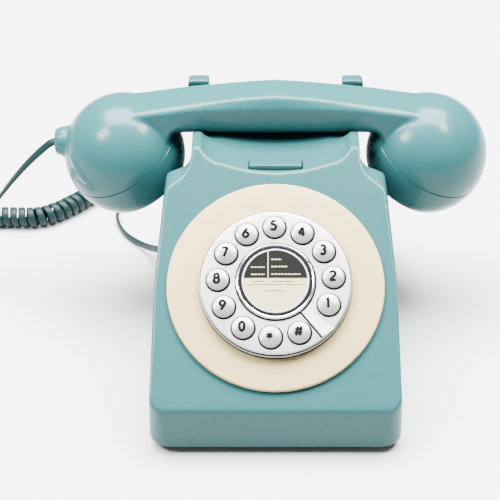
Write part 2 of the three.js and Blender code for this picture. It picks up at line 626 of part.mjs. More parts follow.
// ---------------------------------------------------------------- sockets and ringer switch
{
  const mouth = -BODY_HALF_WIDTH + WALL + 1 + GAP;
  const body = box(mouth, mouth + JACK_DEPTH, JACK_Y - JACK_HALF, JACK_Y + JACK_HALF,
    BASE_PLATE_TOP + GAP, JACK_Z + JACK_HALF);
  const well = box(mouth - 5, mouth + JACK_DEPTH - 2, JACK_Y - PLUG_HALF_WIDTH - GAP,
    JACK_Y + PLUG_HALF_WIDTH + GAP, JACK_Z - PLUG_HALF_HEIGHT - GAP, JACK_Z + PLUG_HALF_HEIGHT + GAP);
  add('handset_socket', body.subtract(well), material(shade.black, 0.5));
  const plug = box(mouth + 1, mouth + JACK_DEPTH - 2 - GAP, JACK_Y - PLUG_HALF_WIDTH,
    JACK_Y + PLUG_HALF_WIDTH, JACK_Z - PLUG_HALF_HEIGHT, JACK_Z + PLUG_HALF_HEIGHT);
  add('plug_base', plug, material(shade.clear, 0.2));
}
{
  const mouth = REAR_Y - WALL - 1 - GAP;
  const body = box(LINE_JACK_X - 7, LINE_JACK_X + 7, mouth - JACK_DEPTH, mouth,
    BASE_PLATE_TOP + GAP, JACK_Z + 6);
  const well = box(LINE_JACK_X - 4.9, LINE_JACK_X + 4.9, mouth - JACK_DEPTH + 2, mouth + 5,
    JACK_Z - 3.5, JACK_Z + 3.5);
  add('line_socket', body.subtract(well), material(shade.black, 0.5));
  const slider = box(SWITCH_X - SWITCH_HALF, SWITCH_X + SWITCH_HALF, mouth - 2,
    REAR_Y + SWITCH_STAND_OUT, JACK_Z - 1.8, JACK_Z + 1.8);
  add('ringer_switch', slider, material(shade.black, 0.5));
  const frame = box(SWITCH_X - 8, SWITCH_X + 8, mouth - 8, mouth - 2 - GAP, BASE_PLATE_TOP + GAP,
    JACK_Z + 5);
  add('ringer_switch_frame', frame, material(shade.steel, 0.4, 0.8));
}

// ---------------------------------------------------------------- handset
function handleShape(shrink, reach) {
  const crown = HANDLE_TOP - shrink;
  const under = HANDLE_BOTTOM + shrink;
  const endX = DOME_X - DOME_RADIUS;
  const shape = new THREE.Shape();
  const flat = NECK_HALF_WIDTH + 0.8 + shrink;
  shape.moveTo(-flat, under);
  shape.lineTo(flat, under);
  shape.quadraticCurveTo(endX + shrink, under - 0.5, endX + shrink, under - 9);
  shape.lineTo(endX + 10, DOME_Z);
  shape.lineTo(reach - 8, DOME_Z);
  shape.quadraticCurveTo(reach + 1, crown - 20, reach - 14, crown - 9.5);
  shape.quadraticCurveTo(reach * 0.5, crown + 0.6, 0, crown);
  shape.quadraticCurveTo(-reach * 0.5, crown + 0.6, -reach + 14, crown - 9.5);
  shape.quadraticCurveTo(-reach - 1, crown - 20, -reach + 8, DOME_Z);
  shape.lineTo(-endX - 10, DOME_Z);
  shape.lineTo(-endX - shrink, under - 9);
  shape.quadraticCurveTo(-endX - shrink, under - 0.5, -flat, under);
  return shape;
}

function domeFrame(side) {
  return new THREE.Matrix4().makeRotationY(side * DOME_TILT)
    .multiply(new THREE.Matrix4().makeRotationX(DOME_ROLL))
    .setPosition(side * DOME_X, HANDSET_Y, DOME_Z);
}

function inDomeFrame(piece, side) {
  return piece.transform(domeFrame(side).toArray());
}

{
  const reach = HANDSET_END - 6;
  const bar = new THREE.ExtrudeGeometry(handleShape(0, reach), {
    depth: HANDLE_WIDTH - 2 * HANDLE_EDGE, bevelEnabled: true, bevelThickness: HANDLE_EDGE,
    bevelSize: HANDLE_EDGE, bevelOffset: -HANDLE_EDGE, bevelSegments: 2, curveSegments: 7 });
  bar.translate(0, 0, -HANDLE_WIDTH / 2 + HANDLE_EDGE).applyMatrix4(axesAlongY);
  let body = moved(solid(bar), 0, HANDSET_Y, 0);
  const ball = (radius) => solid(new THREE.SphereGeometry(radius, 24, 14).rotateX(Math.PI / 2));
  const below = ball(DOME_RADIUS + 2 * GAP).intersect(box(-60, 60, -60, 60, -90, SEAM_ABOVE_CENTRE));
  for (const side of [-1, 1]) {
    body = body.add(inDomeFrame(ball(DOME_RADIUS), side));
  }
  body = body.add(moved(rod(BOSS_RADIUS, 0, BOSS_LENGTH, 20).rotate([0, 90, 0]),
    BOSS_FACE, HANDSET_Y, BOSS_Z));
  const cavity = alongY(handleShape(HANDSET_WALL + 0.4, reach - 4),
    HANDSET_Y - HANDLE_WIDTH / 2 + 4.5, HANDSET_Y + HANDLE_WIDTH / 2 - 4.5)
    .intersect(box(-DOME_X + 4, DOME_X - 4, 0, 100, DOME_Z + 4, 200));
  body = body.subtract(cavity);
  for (const side of [-1, 1]) {
    body = body.subtract(inDomeFrame(ball(DOME_RADIUS - HANDSET_WALL), side));
    body = body.subtract(inDomeFrame(below, side));
  }
  const bore = moved(rod(GLAND_RADIUS + GAP, -5, BOSS_LENGTH + 6, 20).rotate([0, 90, 0]),
    BOSS_FACE, HANDSET_Y, BOSS_Z);
  body = body.subtract(bore);
  add('handset_body', body, material(shade.teal, 0.22));
}

const domeWidth = (height) => Math.sqrt(DOME_RADIUS ** 2 - height ** 2);
const CAP_TOP = SEAM_ABOVE_CENTRE - GAP;
const CAP_FACE = CAP_TOP - CAP_HEIGHT;
const SPIGOT_OUT = domeWidth(CAP_TOP) - HANDSET_WALL - 1.1;
function cap() {
  let piece = turned([
    [0, CAP_FACE],
    [CAP_FACE_RADIUS - 3, CAP_FACE],
    [CAP_FACE_RADIUS, CAP_FACE + 1.2],
    ...[-17, -13, -8, -3, CAP_TOP].map((height) => [domeWidth(height), height]),
    [SPIGOT_OUT, CAP_TOP],
    [SPIGOT_OUT, CAP_TOP + 3.5],
    [SPIGOT_OUT - 2, CAP_TOP + 3.5],
    [SPIGOT_OUT - 2, CAP_TOP - 11],
    [CAP_FACE_RADIUS - 2.8, CAP_FACE + 2.2],
    [0, CAP_FACE + 2.2],
  ], 28);
  piece = piece.subtract(rod(1.6, CAP_FACE - 5, CAP_FACE + 5, 6));
  for (let i = 0; i < 6; i += 1) {
    const angle = (i * Math.PI) / 3;
    piece = piece.subtract(rod(1.6, CAP_FACE - 5, CAP_FACE + 5, 6, 9 * Math.cos(angle),
      9 * Math.sin(angle)));
  }
  return piece;
}

function capsule() {
  const foot = CAP_FACE + 2.2 + GAP;
  return turned([[0, foot], [22, foot], [22, foot + 5], [16, foot + 9], [0, foot + 9]], 22);
}

add('mouth_cap', inDomeFrame(cap(), -1), material(shade.teal, 0.22));
add('ear_cap', inDomeFrame(cap(), 1), material(shade.teal, 0.22));
add('microphone_capsule', inDomeFrame(capsule(), -1), material(shade.steel, 0.4, 0.7));
add('receiver_capsule', inDomeFrame(capsule(), 1), material(shade.steel, 0.4, 0.7));
{
  const floor = HANDLE_BOTTOM + HANDSET_WALL + 0.4 + GAP;
  add('handset_weight', box(-38, 38, HANDSET_Y - 8.5, HANDSET_Y + 8.5, floor, floor + 6),
    material(shade.steel, 0.5, 0.8));
}

// gland in the left end, and the plug inside it
{
  let gland = rod(GLAND_RADIUS, 0, BOSS_LENGTH + 2, 20);
  gland = gland.subtract(box(-PLUG_HALF_HEIGHT - GAP, PLUG_HALF_HEIGHT + GAP,
    -PLUG_HALF_WIDTH - GAP, PLUG_HALF_WIDTH + GAP, -5, BOSS_LENGTH + 5));
  add('cord_gland', moved(gland.rotate([0, 90, 0]), BOSS_FACE, HANDSET_Y, BOSS_Z),
    material(shade.teal, 0.35));
  add('plug_handset', box(BOSS_FACE + 3, BOSS_FACE + 3 + PLUG_LENGTH, HANDSET_Y - PLUG_HALF_WIDTH,
    HANDSET_Y + PLUG_HALF_WIDTH, BOSS_Z - PLUG_HALF_HEIGHT, BOSS_Z + PLUG_HALF_HEIGHT),
  material(shade.clear, 0.2));
}

// ---------------------------------------------------------------- cord
function cordTube(name, points, radius, steps, sides) {
  const curve = new THREE.CatmullRomCurve3(points.map(([x, y, z]) => new THREE.Vector3(x, y, z)));
  const section = new THREE.Shape();
  for (let i = 0; i < sides; i += 1) {
    const angle = (i * 2 * Math.PI) / sides;
    const place = [radius * Math.cos(angle), radius * Math.sin(angle)];
    if (i === 0) section.moveTo(...place);
    else section.lineTo(...place);
  }
  const tube = new THREE.ExtrudeGeometry(section, {
    steps, bevelEnabled: false, extrudePath: curve, curveSegments: 1 });
  add(name, solid(tube), material(shade.cord, 0.4));
}

cordTube('cord_tail_handset', [
  [-119.9, 50.5, 95.5], [-124.3, 50.5, 94.8], [-128.5, 50.7, 91.6], [-134.5, 51.2, 85.8],
  [-142, 52.3, 77.5], [-150, 53.7, 67.5], [-158, 55.5, 56.5], [-166, 58, 45], [-173.5, 61.2, 33.5],
  [-180.5, 65, 22.5], [-187, 69, 12.5], [-192.5, 71, 7.6], [-196.5, 69, 6.6], [-197.3, 65.5, 6.6],
  [-197.3, 62.4, 6.6],
], CORD_RADIUS, 20, 8);
cordTube('cord_curl', [
  [-197.3, 61.9, 6.6], [-197.4, 50, 6.6], [-193, 36, 6.6], [-182, 26, 6.6], [-173, 14, 6.6],
  [-174, -3, 6.6], [-188, -17, 6.6], [-208, -20, 6.6], [-228, -11, 6.6], [-242, 8, 6.6],
  [-247, 34, 6.6], [-244, 60, 6.6], [-233, 83, 6.6], [-214, 99, 6.6], [-192, 106, 6.6],
  [-170, 107, 6.6], [-148, 107, 6.6], [-136, 113.5, 6.6], [-127, 122, 6.6], [-119.5, 130, 6.6],
  [-113, 138, 6.6],
], CURL_RADIUS, 44, 8);
cordTube('cord_tail_base', [
  [-112.7, 138.4, 6.5], [-108.6, 143.4, 5.4], [-102, 146, 3.2], [-96.5, 140.5, 2.2], [-96, 129, 2.2],
  [-99.5, 118, 2.2], [-98, 106, 2.2], [-93, 94.5, 2.2], [-86, 86, 2.6], [-79, 78, 4.5],
  [-74, 71, 8], [-70.5, 65, 11.5], [-66.5, 62.3, 13], [-61.2, 62, 13],
], CORD_RADIUS, 26, 8);

// the boss and the switch knob stand out on one side only, so the whole is moved to its middle
group.position.set(BOSS_STAND_OUT / 2, (FRONT_DRAFT - SWITCH_STAND_OUT) / 2, 0);

export default group;
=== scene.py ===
"""Desk telephone with a ring of push keys: the look of every piece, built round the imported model.

Drawings are in millimetres in the telephone's own axes: the housing's middle is x = 0, its rear
wall is y = 100 and the desk is z = 0. settle() turns a finished drawing into metres in the frame.
"""
import math

import bmesh
import bpy
from mathutils import Matrix, Vector


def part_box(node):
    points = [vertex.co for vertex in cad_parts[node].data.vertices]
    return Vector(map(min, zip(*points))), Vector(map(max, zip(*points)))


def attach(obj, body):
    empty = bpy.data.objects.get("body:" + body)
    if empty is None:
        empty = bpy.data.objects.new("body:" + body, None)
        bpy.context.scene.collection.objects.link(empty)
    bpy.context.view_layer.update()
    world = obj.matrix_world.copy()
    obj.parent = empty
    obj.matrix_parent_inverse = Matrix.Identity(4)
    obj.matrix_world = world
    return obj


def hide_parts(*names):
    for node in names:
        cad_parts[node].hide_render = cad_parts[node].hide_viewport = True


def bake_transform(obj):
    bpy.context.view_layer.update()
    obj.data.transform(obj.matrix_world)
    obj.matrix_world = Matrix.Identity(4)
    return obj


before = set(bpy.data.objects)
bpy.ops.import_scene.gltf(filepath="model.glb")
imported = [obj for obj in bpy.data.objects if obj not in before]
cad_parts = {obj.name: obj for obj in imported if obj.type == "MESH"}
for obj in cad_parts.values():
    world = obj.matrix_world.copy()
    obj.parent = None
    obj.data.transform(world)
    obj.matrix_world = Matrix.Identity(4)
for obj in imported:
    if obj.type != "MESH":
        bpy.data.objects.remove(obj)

bl_info = {
    "name": "Retro desk telephone",
    "version": (1, 0, 0),
    "blender": (4, 5, 0),
    "location": "3D View > Sidebar > Telephone",
    "description": "Builds a desk telephone with push keys in a round dial plate",
    "category": "Add Mesh",
}

# ------------------------------------------------------------------ places taken from the frame
MM = 0.001
REAR_Y = 100.0
_shell_low, _shell_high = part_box("body_shell")
ORIGIN = Vector(((_shell_low[0] + _shell_high[0]) / 2, _shell_high[1] - REAR_Y * MM, 0.0))
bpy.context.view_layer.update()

# ------------------------------------------------------------------ housing, mm
FRONT_Y = -100.0
FRONT_DRAFT = 1.0
BODY_HALF_WIDTH = 65.5
CREASE_HALF_WIDTH = 64.5
SHOULDER_HALF_WIDTH = 58.5
NECK_HALF_WIDTH = 45.0
WALL = 2.6
FOOT_HEIGHT = 4.0
CREASE_Z = 28.0
FACE_SLOPE = math.radians(35)
SHOULDER_ALONG = 120.5
NECK_ALONG = 132.0
LIP_ALONG = 130.0
HORN_ALONG = 145.0
CORNER_RADIUS = 11.0
REAR_CORNER_RADIUS = 20.0
REAR_DECK_Z = 48.0
REAR_HORN_TOP = 125.0
REAR_HORN_INNER = 36.6
REAR_HORN_OUTER = 48.6
REAR_HORN_THICKNESS = 8.0
SHOULDER_THICKNESS = 6.4
RECESS_DRAFT = 6.0
RECESS_FLOOR = 64.0
SCOOP_HALF_WIDTH = 42.4
SCOOP_EDGE_RISE = 3.0
SCOOP_CORNER = 14.0
FAR = 400.0

# ------------------------------------------------------------------ handset, mm
HANDSET_Y = 50.5
HANDLE_WIDTH = 27.0
HANDLE_BOTTOM = 106.0
HANDLE_TOP = 129.5
DOME_RADIUS = 33.7
DOME_X = 84.2
DOME_Z = 88.0
DOME_TILT = math.radians(28)
DOME_ROLL = math.radians(12)
SEAM_ABOVE_CENTRE = 3.0
CAP_HEIGHT = 23.3
CAP_FACE_RADIUS = 26.0
HANDSET_WALL = 2.5
BOSS_RADIUS = 8.6
BOSS_FACE = -DOME_X - DOME_RADIUS - 4.5
BOSS_Z = 95.5
BOSS_LENGTH = 14.0
GLAND_RADIUS = 6.0

# ------------------------------------------------------------------ dial, mm
DIAL_ALONG = 66.5
SURROUND_RADIUS = 56.5
SURROUND_BORE = 34.9
SURROUND_TOP = 2.5
PLATE_RADIUS = 38.9
PLATE_FOOT = 2.8
PLATE_RISE = 8.0
PLATE_SKIN = 2.0
KEY_CIRCLE = 29.8
KEY_PITCH = math.radians(28.95)
FIRST_KEY = math.radians(-24.5)
KEY_NAMES = ("1", "2", "3", "4", "5", "6", "7", "8", "9", "0", "star", "hash")
KEY_CROWN = 10.4
KEY_FOOT = 4.5
STOP_ANGLE = math.radians(-51)
BEZEL_RADIUS = 20.3
REDIAL_RADIUS = 17.3
GAP = 0.3


def face_y(along):
    return FRONT_Y + along * math.cos(FACE_SLOPE)


def face_z(along):
    return CREASE_Z + along * math.sin(FACE_SLOPE)


LIP_Y = face_y(LIP_ALONG)
LIP_Z = face_z(LIP_ALONG)
HORN_Z = face_z(HORN_ALONG)
CHANNEL_FRONT = HANDSET_Y - HANDLE_WIDTH / 2 - 1.5
CHANNEL_REAR = HANDSET_Y + HANDLE_WIDTH / 2 + 1.5
DIAL_FRAME = (Matrix.Translation((0, face_y(DIAL_ALONG), face_z(DIAL_ALONG)))
              @ Matrix.Rotation(FACE_SLOPE, 4, "X"))


def dome_frame(side):
    return (Matrix.Translation((side * DOME_X, HANDSET_Y, DOME_Z))
            @ Matrix.Rotation(side * DOME_TILT, 4, "Y") @ Matrix.Rotation(DOME_ROLL, 4, "X"))


# ------------------------------------------------------------------ properties
def length(label, text, default):
    return bpy.props.FloatProperty(name=label, description=text, default=default, min=0.0,
                                   unit="LENGTH", subtype="DISTANCE", precision=5)


def colour(label, text, default):
    return bpy.props.FloatVectorProperty(name=label, description=text, default=default, size=3,
                                         min=0.0, max=1.0, subtype="COLOR")


class TelephoneSizes(bpy.types.PropertyGroup):
    """Sizes that a user would change."""

    housing_grain: length("Housing mesh step", "Mesh step of the moulded housing", 0.0009)
    handset_grain: length("Handset mesh step", "Mesh step of the moulded handset", 0.0009)
    housing_rounding: bpy.props.IntProperty(
        name="Housing rounding", description="Smoothing passes over the housing's edges",
        default=6, min=0, max=60)
    handset_rounding: bpy.props.IntProperty(
        name="Handset rounding", description="Smoothing passes over the handset's edges",
        default=10, min=0, max=60)
    key_radius: length("Key radius", "Radius of a push key's cap", 0.0057)
    numeral_height: length("Numeral height", "Height of the numeral on a key", 0.0053)
    cord_width: length("Cord width", "Width of the flat handset cord", 0.0044)
    cord_thickness: length("Cord thickness", "Thickness of the flat handset cord", 0.0021)
    coil_radius: length("Coil radius", "From the coil's middle to the cord's middle", 0.0052)
    coil_pitch: length("Coil pitch", "From one turn of the coil to the next", 0.0052)
    floor_size: length("Floor size", "Side of the floor under the telephone", 8.0)


class TelephoneColours(bpy.types.PropertyGroup):
    """Colours of the finishes."""

    # the housing's teal is the plastic's own colour, set a little darker than the handset's as
    # painted shade: the housing's faces take less light than the handset's top
    housing: colour("Housing", "Moulded plastic of the housing", (0.0155, 0.066, 0.070))
    handset: colour("Handset", "Moulded plastic of the handset", (0.0165, 0.077, 0.081))
    surround: colour("Surround", "Cream ring round the dial plate", (0.40, 0.305, 0.145))
    plate: colour("Dial plate", "Silver paint of the dial plate", (0.47, 0.48, 0.48))
    key: colour("Keys", "Caps of the push keys", (0.27, 0.27, 0.26))
    ink: colour("Ink", "Numerals on the keys", (0.006, 0.006, 0.006))
    chrome: colour("Chrome", "Plated bezel", (0.80, 0.81, 0.82))
    # this black also paints the rings of painted shade round the dial's keys, finger stop, plate
    # side and bezel
    black: colour("Black plastic", "Base plate, sockets and small mouldings",
                  (0.008, 0.008, 0.0085))
    card_dark: colour("Card, upper half", "Upper half of the centre card", (0.008, 0.009, 0.008))
    card_light: colour("Card, lower half", "Lower half of the centre card", (0.36, 0.31, 0.16))
    cord: colour("Cord", "Vinyl of the handset cord", (0.0045, 0.016, 0.0165))
    rubber: colour("Rubber", "Feet and key mat", (0.025, 0.025, 0.026))
    board: colour("Circuit board", "Solder mask of the boards", (0.02, 0.13, 0.06))
    steel: colour("Steel", "Screws, weights and speakers", (0.50, 0.51, 0.52))
    floor: colour("Floor", "Surface under the telephone", (0.52, 0.52, 0.52))


# ------------------------------------------------------------------ outlines
def fillet(points, radius, steps=5, closed=True):
    """Rounds the corners of an outline; radius is one value, or one for each corner."""
    count = len(points)
    radii = radius if isinstance(radius, (list, tuple)) else [radius] * count
    rounded = []
    for i, (x, y) in enumerate(points):
        if not closed and i in (0, count - 1):
            rounded.append((x, y))
            continue
        before = Vector(points[i - 1]) - Vector((x, y))
        after = Vector(points[(i + 1) % count]) - Vector((x, y))
        reach = min(before.length, after.length) * 0.48
        angle = before.angle(after)
        if radii[i] <= 0 or angle > math.pi - 0.02:
            rounded.append((x, y))
            continue
        setback = min(radii[i] / math.tan(angle / 2), reach)
        start = Vector((x, y)) + before.normalized() * setback
        end = Vector((x, y)) + after.normalized() * setback
        arc = setback * math.tan(angle / 2)
        middle = Vector((x, y)) + (before.normalized() + after.normalized()).normalized() * (
            arc / math.sin(angle / 2))
        first = start - middle
        turn = first.angle_signed(end - middle)
        for k in range(steps + 1):
            swung = Matrix.Rotation(-turn * k / steps, 2) @ first
            rounded.append(tuple(middle + swung))
    return rounded


def inset(points, distance):
    """Moves every edge of a counter-clockwise outline inward by one distance."""
    count = len(points)
    lines = []
    for i, p in enumerate(points):
        q = points[(i + 1) % count]
        along = (Vector(q) - Vector(p)).normalized()
        lines.append((Vector(p) + Vector((-along.y, along.x)) * distance, along))
    moved = []
    for i, (point, along) in enumerate(lines):
        before, along_before = lines[i - 1]
        cross = along_before.x * along.y - along_before.y * along.x
        step = point - before
        share = (step.x * along.y - step.y * along.x) / cross
        moved.append(tuple(before + along_before * share))
    return moved


def arc_points(cx, cy, radius, start, end, steps):
    return [(cx + radius * math.cos(start + (end - start) * i / steps),
             cy + radius * math.sin(start + (end - start) * i / steps)) for i in range(steps + 1)]


def quadratic(a, b, c, steps):
    """Points after a, along a quadratic curve pulled towards b, up to c."""
    a, b, c = Vector(a), Vector(b), Vector(c)
    ts = [i / steps for i in range(1, steps + 1)]
    return [tuple(a * (1 - t) ** 2 + b * 2 * t * (1 - t) + c * t * t) for t in ts]


# ------------------------------------------------------------------ meshes
def new_piece(name, verts, faces):
    mesh = bpy.data.meshes.new(name)
    mesh.from_pydata([tuple(v) for v in verts], [], faces)
    mesh.validate()
    work = bmesh.new()
    work.from_mesh(mesh)
    bmesh.ops.recalc_face_normals(work, faces=work.faces)
    work.to_mesh(mesh)
    work.free()
    piece = bpy.data.objects.new(name, mesh)
    bpy.context.scene.collection.objects.link(piece)
    return piece


def prism(outline, axis, low, high):
    """A closed block: the outline carried along one axis. Outlines are (y, z), (x, z) or (x, y)."""
    place = {"x": lambda a, b, h: (h, a, b), "y": lambda a, b, h: (a, h, b),
             "z": lambda a, b, h: (a, b, h)}[axis]
    count = len(outline)
    verts = [place(a, b, h) for h in (low, high) for a, b in outline]
    faces = [list(range(count))[::-1], list(range(count, 2 * count))]
    faces += [[i, (i + 1) % count, count + (i + 1) % count, count + i] for i in range(count)]
    return new_piece("block", verts, faces)


def block(low, high):
    (x0, y0, z0), (x1, y1, z1) = low, high
    return prism([(x0, y0), (x1, y0), (x1, y1), (x0, y1)], "z", z0, z1)


def turned(name, profile, steps=96):
    """A closed body turned about Z from (radius, height) points: axis to axis, or a closed ring."""
    on_axis = profile[0][0] == 0
    verts, rings = [], []
    for radius, height in profile:
        if radius == 0:
            rings.append([len(verts)] * steps)
            verts.append((0, 0, height))
        else:
            rings.append([len(verts) + k for k in range(steps)])
            verts += [(radius * math.cos(2 * math.pi * k / steps),
                       radius * math.sin(2 * math.pi * k / steps), height) for k in range(steps)]
    pairs = list(zip(rings, rings[1:])) + ([] if on_axis else [(rings[-1], rings[0])])
    faces = []
    for a, b in pairs:
        for k in range(steps):
            n = (k + 1) % steps
            corners = [a[k], a[n], b[n], b[k]]
            unique = list(dict.fromkeys(corners))
            if len(unique) > 2:
                faces.append(unique)
    return new_piece(name, verts, faces)


def loft(name, rings):
    """A closed body through rings of equally many points, with flat ends."""
    count = len(rings[0])
    verts = [p for ring in rings for p in ring]
    faces = [list(range(count))[::-1],
             list(range(len(verts) - count, len(verts)))]
    for r in range(len(rings) - 1):
        for i in range(count):
            n = (i + 1) % count
            faces.append([r * count + i, r * count + n, (r + 1) * count + n, (r + 1) * count + i])
    return new_piece(name, verts, faces)


def ball(radius, steps=96):
    profile = [(0, -radius)]
    profile += [(radius * math.cos(math.pi * (k / 48 - 0.5)),
                 radius * math.sin(math.pi * (k / 48 - 0.5)))
                for k in range(1, 48)]
    profile.append((0, radius))
    return turned("ball", profile, steps)


def rod(radius, low, high, steps=48, top_radius=None):
    top = radius if top_radius is None else top_radius
    return turned("rod", [(0, low), (radius, low), (top, high), (0, high)], steps)


def place(piece, matrix):
    piece.data.transform(matrix)
    return piece


def settle_modifiers(piece):
    """Makes the modifiers' result the piece's own mesh."""
    graph = bpy.context.evaluated_depsgraph_get()
    mesh = bpy.data.meshes.new_from_object(piece.evaluated_get(graph))
    old = piece.data
    piece.modifiers.clear()
    piece.data = mesh
    bpy.data.meshes.remove(old)
    return piece


def combine(piece, others, operation):
    """Joins, cuts or intersects the piece with each other block, which is used up."""
    for other in others:
        cutter = piece.modifiers.new("combine", "BOOLEAN")
        cutter.solver = "MANIFOLD"
        cutter.operation = operation
        cutter.object = other
        settle_modifiers(piece)
        mesh = other.data
        bpy.data.objects.remove(other)
        bpy.data.meshes.remove(mesh)
    return piece


def mould(piece, step, passes):
    """Remeshes the piece and rounds its edges, as a moulding's are."""
    grid = piece.modifiers.new("grid", "REMESH")
    grid.mode = "VOXEL"
    grid.voxel_size = step
    grid.adaptivity = 0.0
    soft = piece.modifiers.new("soften", "SMOOTH")
    soft.factor = 0.5
    soft.iterations = passes
    return settle_modifiers(piece)


def rounded_edges(piece, width, segments=3, angle=30):
    edge = piece.modifiers.new("edges", "BEVEL")
    edge.width = width
    edge.segments = segments
    edge.limit_method = "ANGLE"
    edge.angle_limit = math.radians(angle)
    edge.harden_normals = False
    return settle_modifiers(piece)


def settle(piece, name, finish, body, replaced=(), sharp=40):
    """Puts a finished drawing in its place in the frame, with its finish, on its body."""
    piece.name = name
    piece.data.name = name
    piece.data.transform(Matrix.Translation(ORIGIN) @ Matrix.Scale(MM, 4))
    piece.data.materials.clear()
    piece.data.materials.append(finish)
    for polygon in piece.data.polygons:
        polygon.use_smooth = True
        polygon.material_index = 0
    piece.data.set_sharp_from_angle(angle=math.radians(sharp))
    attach(piece, body)
    if replaced:
        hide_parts(*replaced)
    return piece


# ------------------------------------------------------------------ finishes
class Finish:
    """A material whose nodes are added step by step round one Principled shader."""

    def __init__(self, name, base, roughness, metallic=0.0, **sockets):
        self.material = bpy.data.materials.new(name)
        self.material.use_nodes = True
        self.tree = self.material.node_tree
        self.shader = self.tree.nodes["Principled BSDF"]
        self.shader.inputs["Base Color"].default_value = (*base, 1)
        self.shader.inputs["Roughness"].default_value = roughness
        self.shader.inputs["Metallic"].default_value = metallic
        for socket, value in sockets.items():
            self.shader.inputs[socket.replace("_", " ")].default_value = value
        self.place = self.tree.nodes.new("ShaderNodeTexCoord").outputs["Object"]
        self.bumps = []

    def stretched(self, scale):
        mapping = self.tree.nodes.new("ShaderNodeMapping")
        mapping.inputs["Scale"].default_value = scale
        self.tree.links.new(self.place, mapping.inputs["Vector"])
        return mapping.outputs["Vector"]

    def noise(self, size, detail=2.0, where=None):
        """Noise whose features are about size metres across."""
        node = self.tree.nodes.new("ShaderNodeTexNoise")
        node.inputs["Scale"].default_value = 1.0 / size
        node.inputs["Detail"].default_value = detail
        self.tree.links.new(where or self.place, node.inputs["Vector"])
        return node.outputs["Fac"]

    def mottle(self, base, size, spread, detail=3.0):
        """Varies the base colour lightly and slowly over the surface."""
        mix = self.tree.nodes.new("ShaderNodeMix")
        mix.data_type = "RGBA"
        mix.inputs["A"].default_value = (*[c * (1 - spread) for c in base], 1)
        mix.inputs["B"].default_value = (*[min(1.0, c * (1 + spread)) for c in base], 1)
        self.tree.links.new(self.noise(size, detail), mix.inputs["Factor"])
        self.tree.links.new(mix.outputs["Result"], self.shader.inputs["Base Color"])
        return self

    def rough(self, size, low, high, where=None):
        scale = self.tree.nodes.new("ShaderNodeMapRange")
        scale.inputs["From Min"].default_value = 0.3
        scale.inputs["From Max"].default_value = 0.7
        scale.inputs["To Min"].default_value = low
        scale.inputs["To Max"].default_value = high
        self.tree.links.new(self.noise(size, 4.0, where), scale.inputs["Value"])
        self.tree.links.new(scale.outputs["Result"], self.shader.inputs["Roughness"])
        return self

    def bump(self, size, depth, strength=1.0, detail=2.0, where=None):
        """Adds relief: features about size metres across and depth metres deep."""
        node = self.tree.nodes.new("ShaderNodeBump")
        node.inputs["Distance"].default_value = depth
        node.inputs["Strength"].default_value = strength
        self.tree.links.new(self.noise(size, detail, where), node.inputs["Height"])
        if self.bumps:
            self.tree.links.new(self.bumps[-1], node.inputs["Normal"])
        self.bumps.append(node.outputs["Normal"])
        self.tree.links.new(node.outputs["Normal"], self.shader.inputs["Normal"])
        return self


FINISHES = {}


def glossy_moulding(name, base):
    return (Finish(name, base, 0.27, Coat_Weight=0.12, Coat_Roughness=0.08, Specular_IOR_Level=0.12)
            .mottle(base, 0.06, 0.012, 1.0).rough(0.02, 0.26, 0.30)
            .bump(0.012, 0.00003, detail=1.0).bump(0.0006, 0.000002))


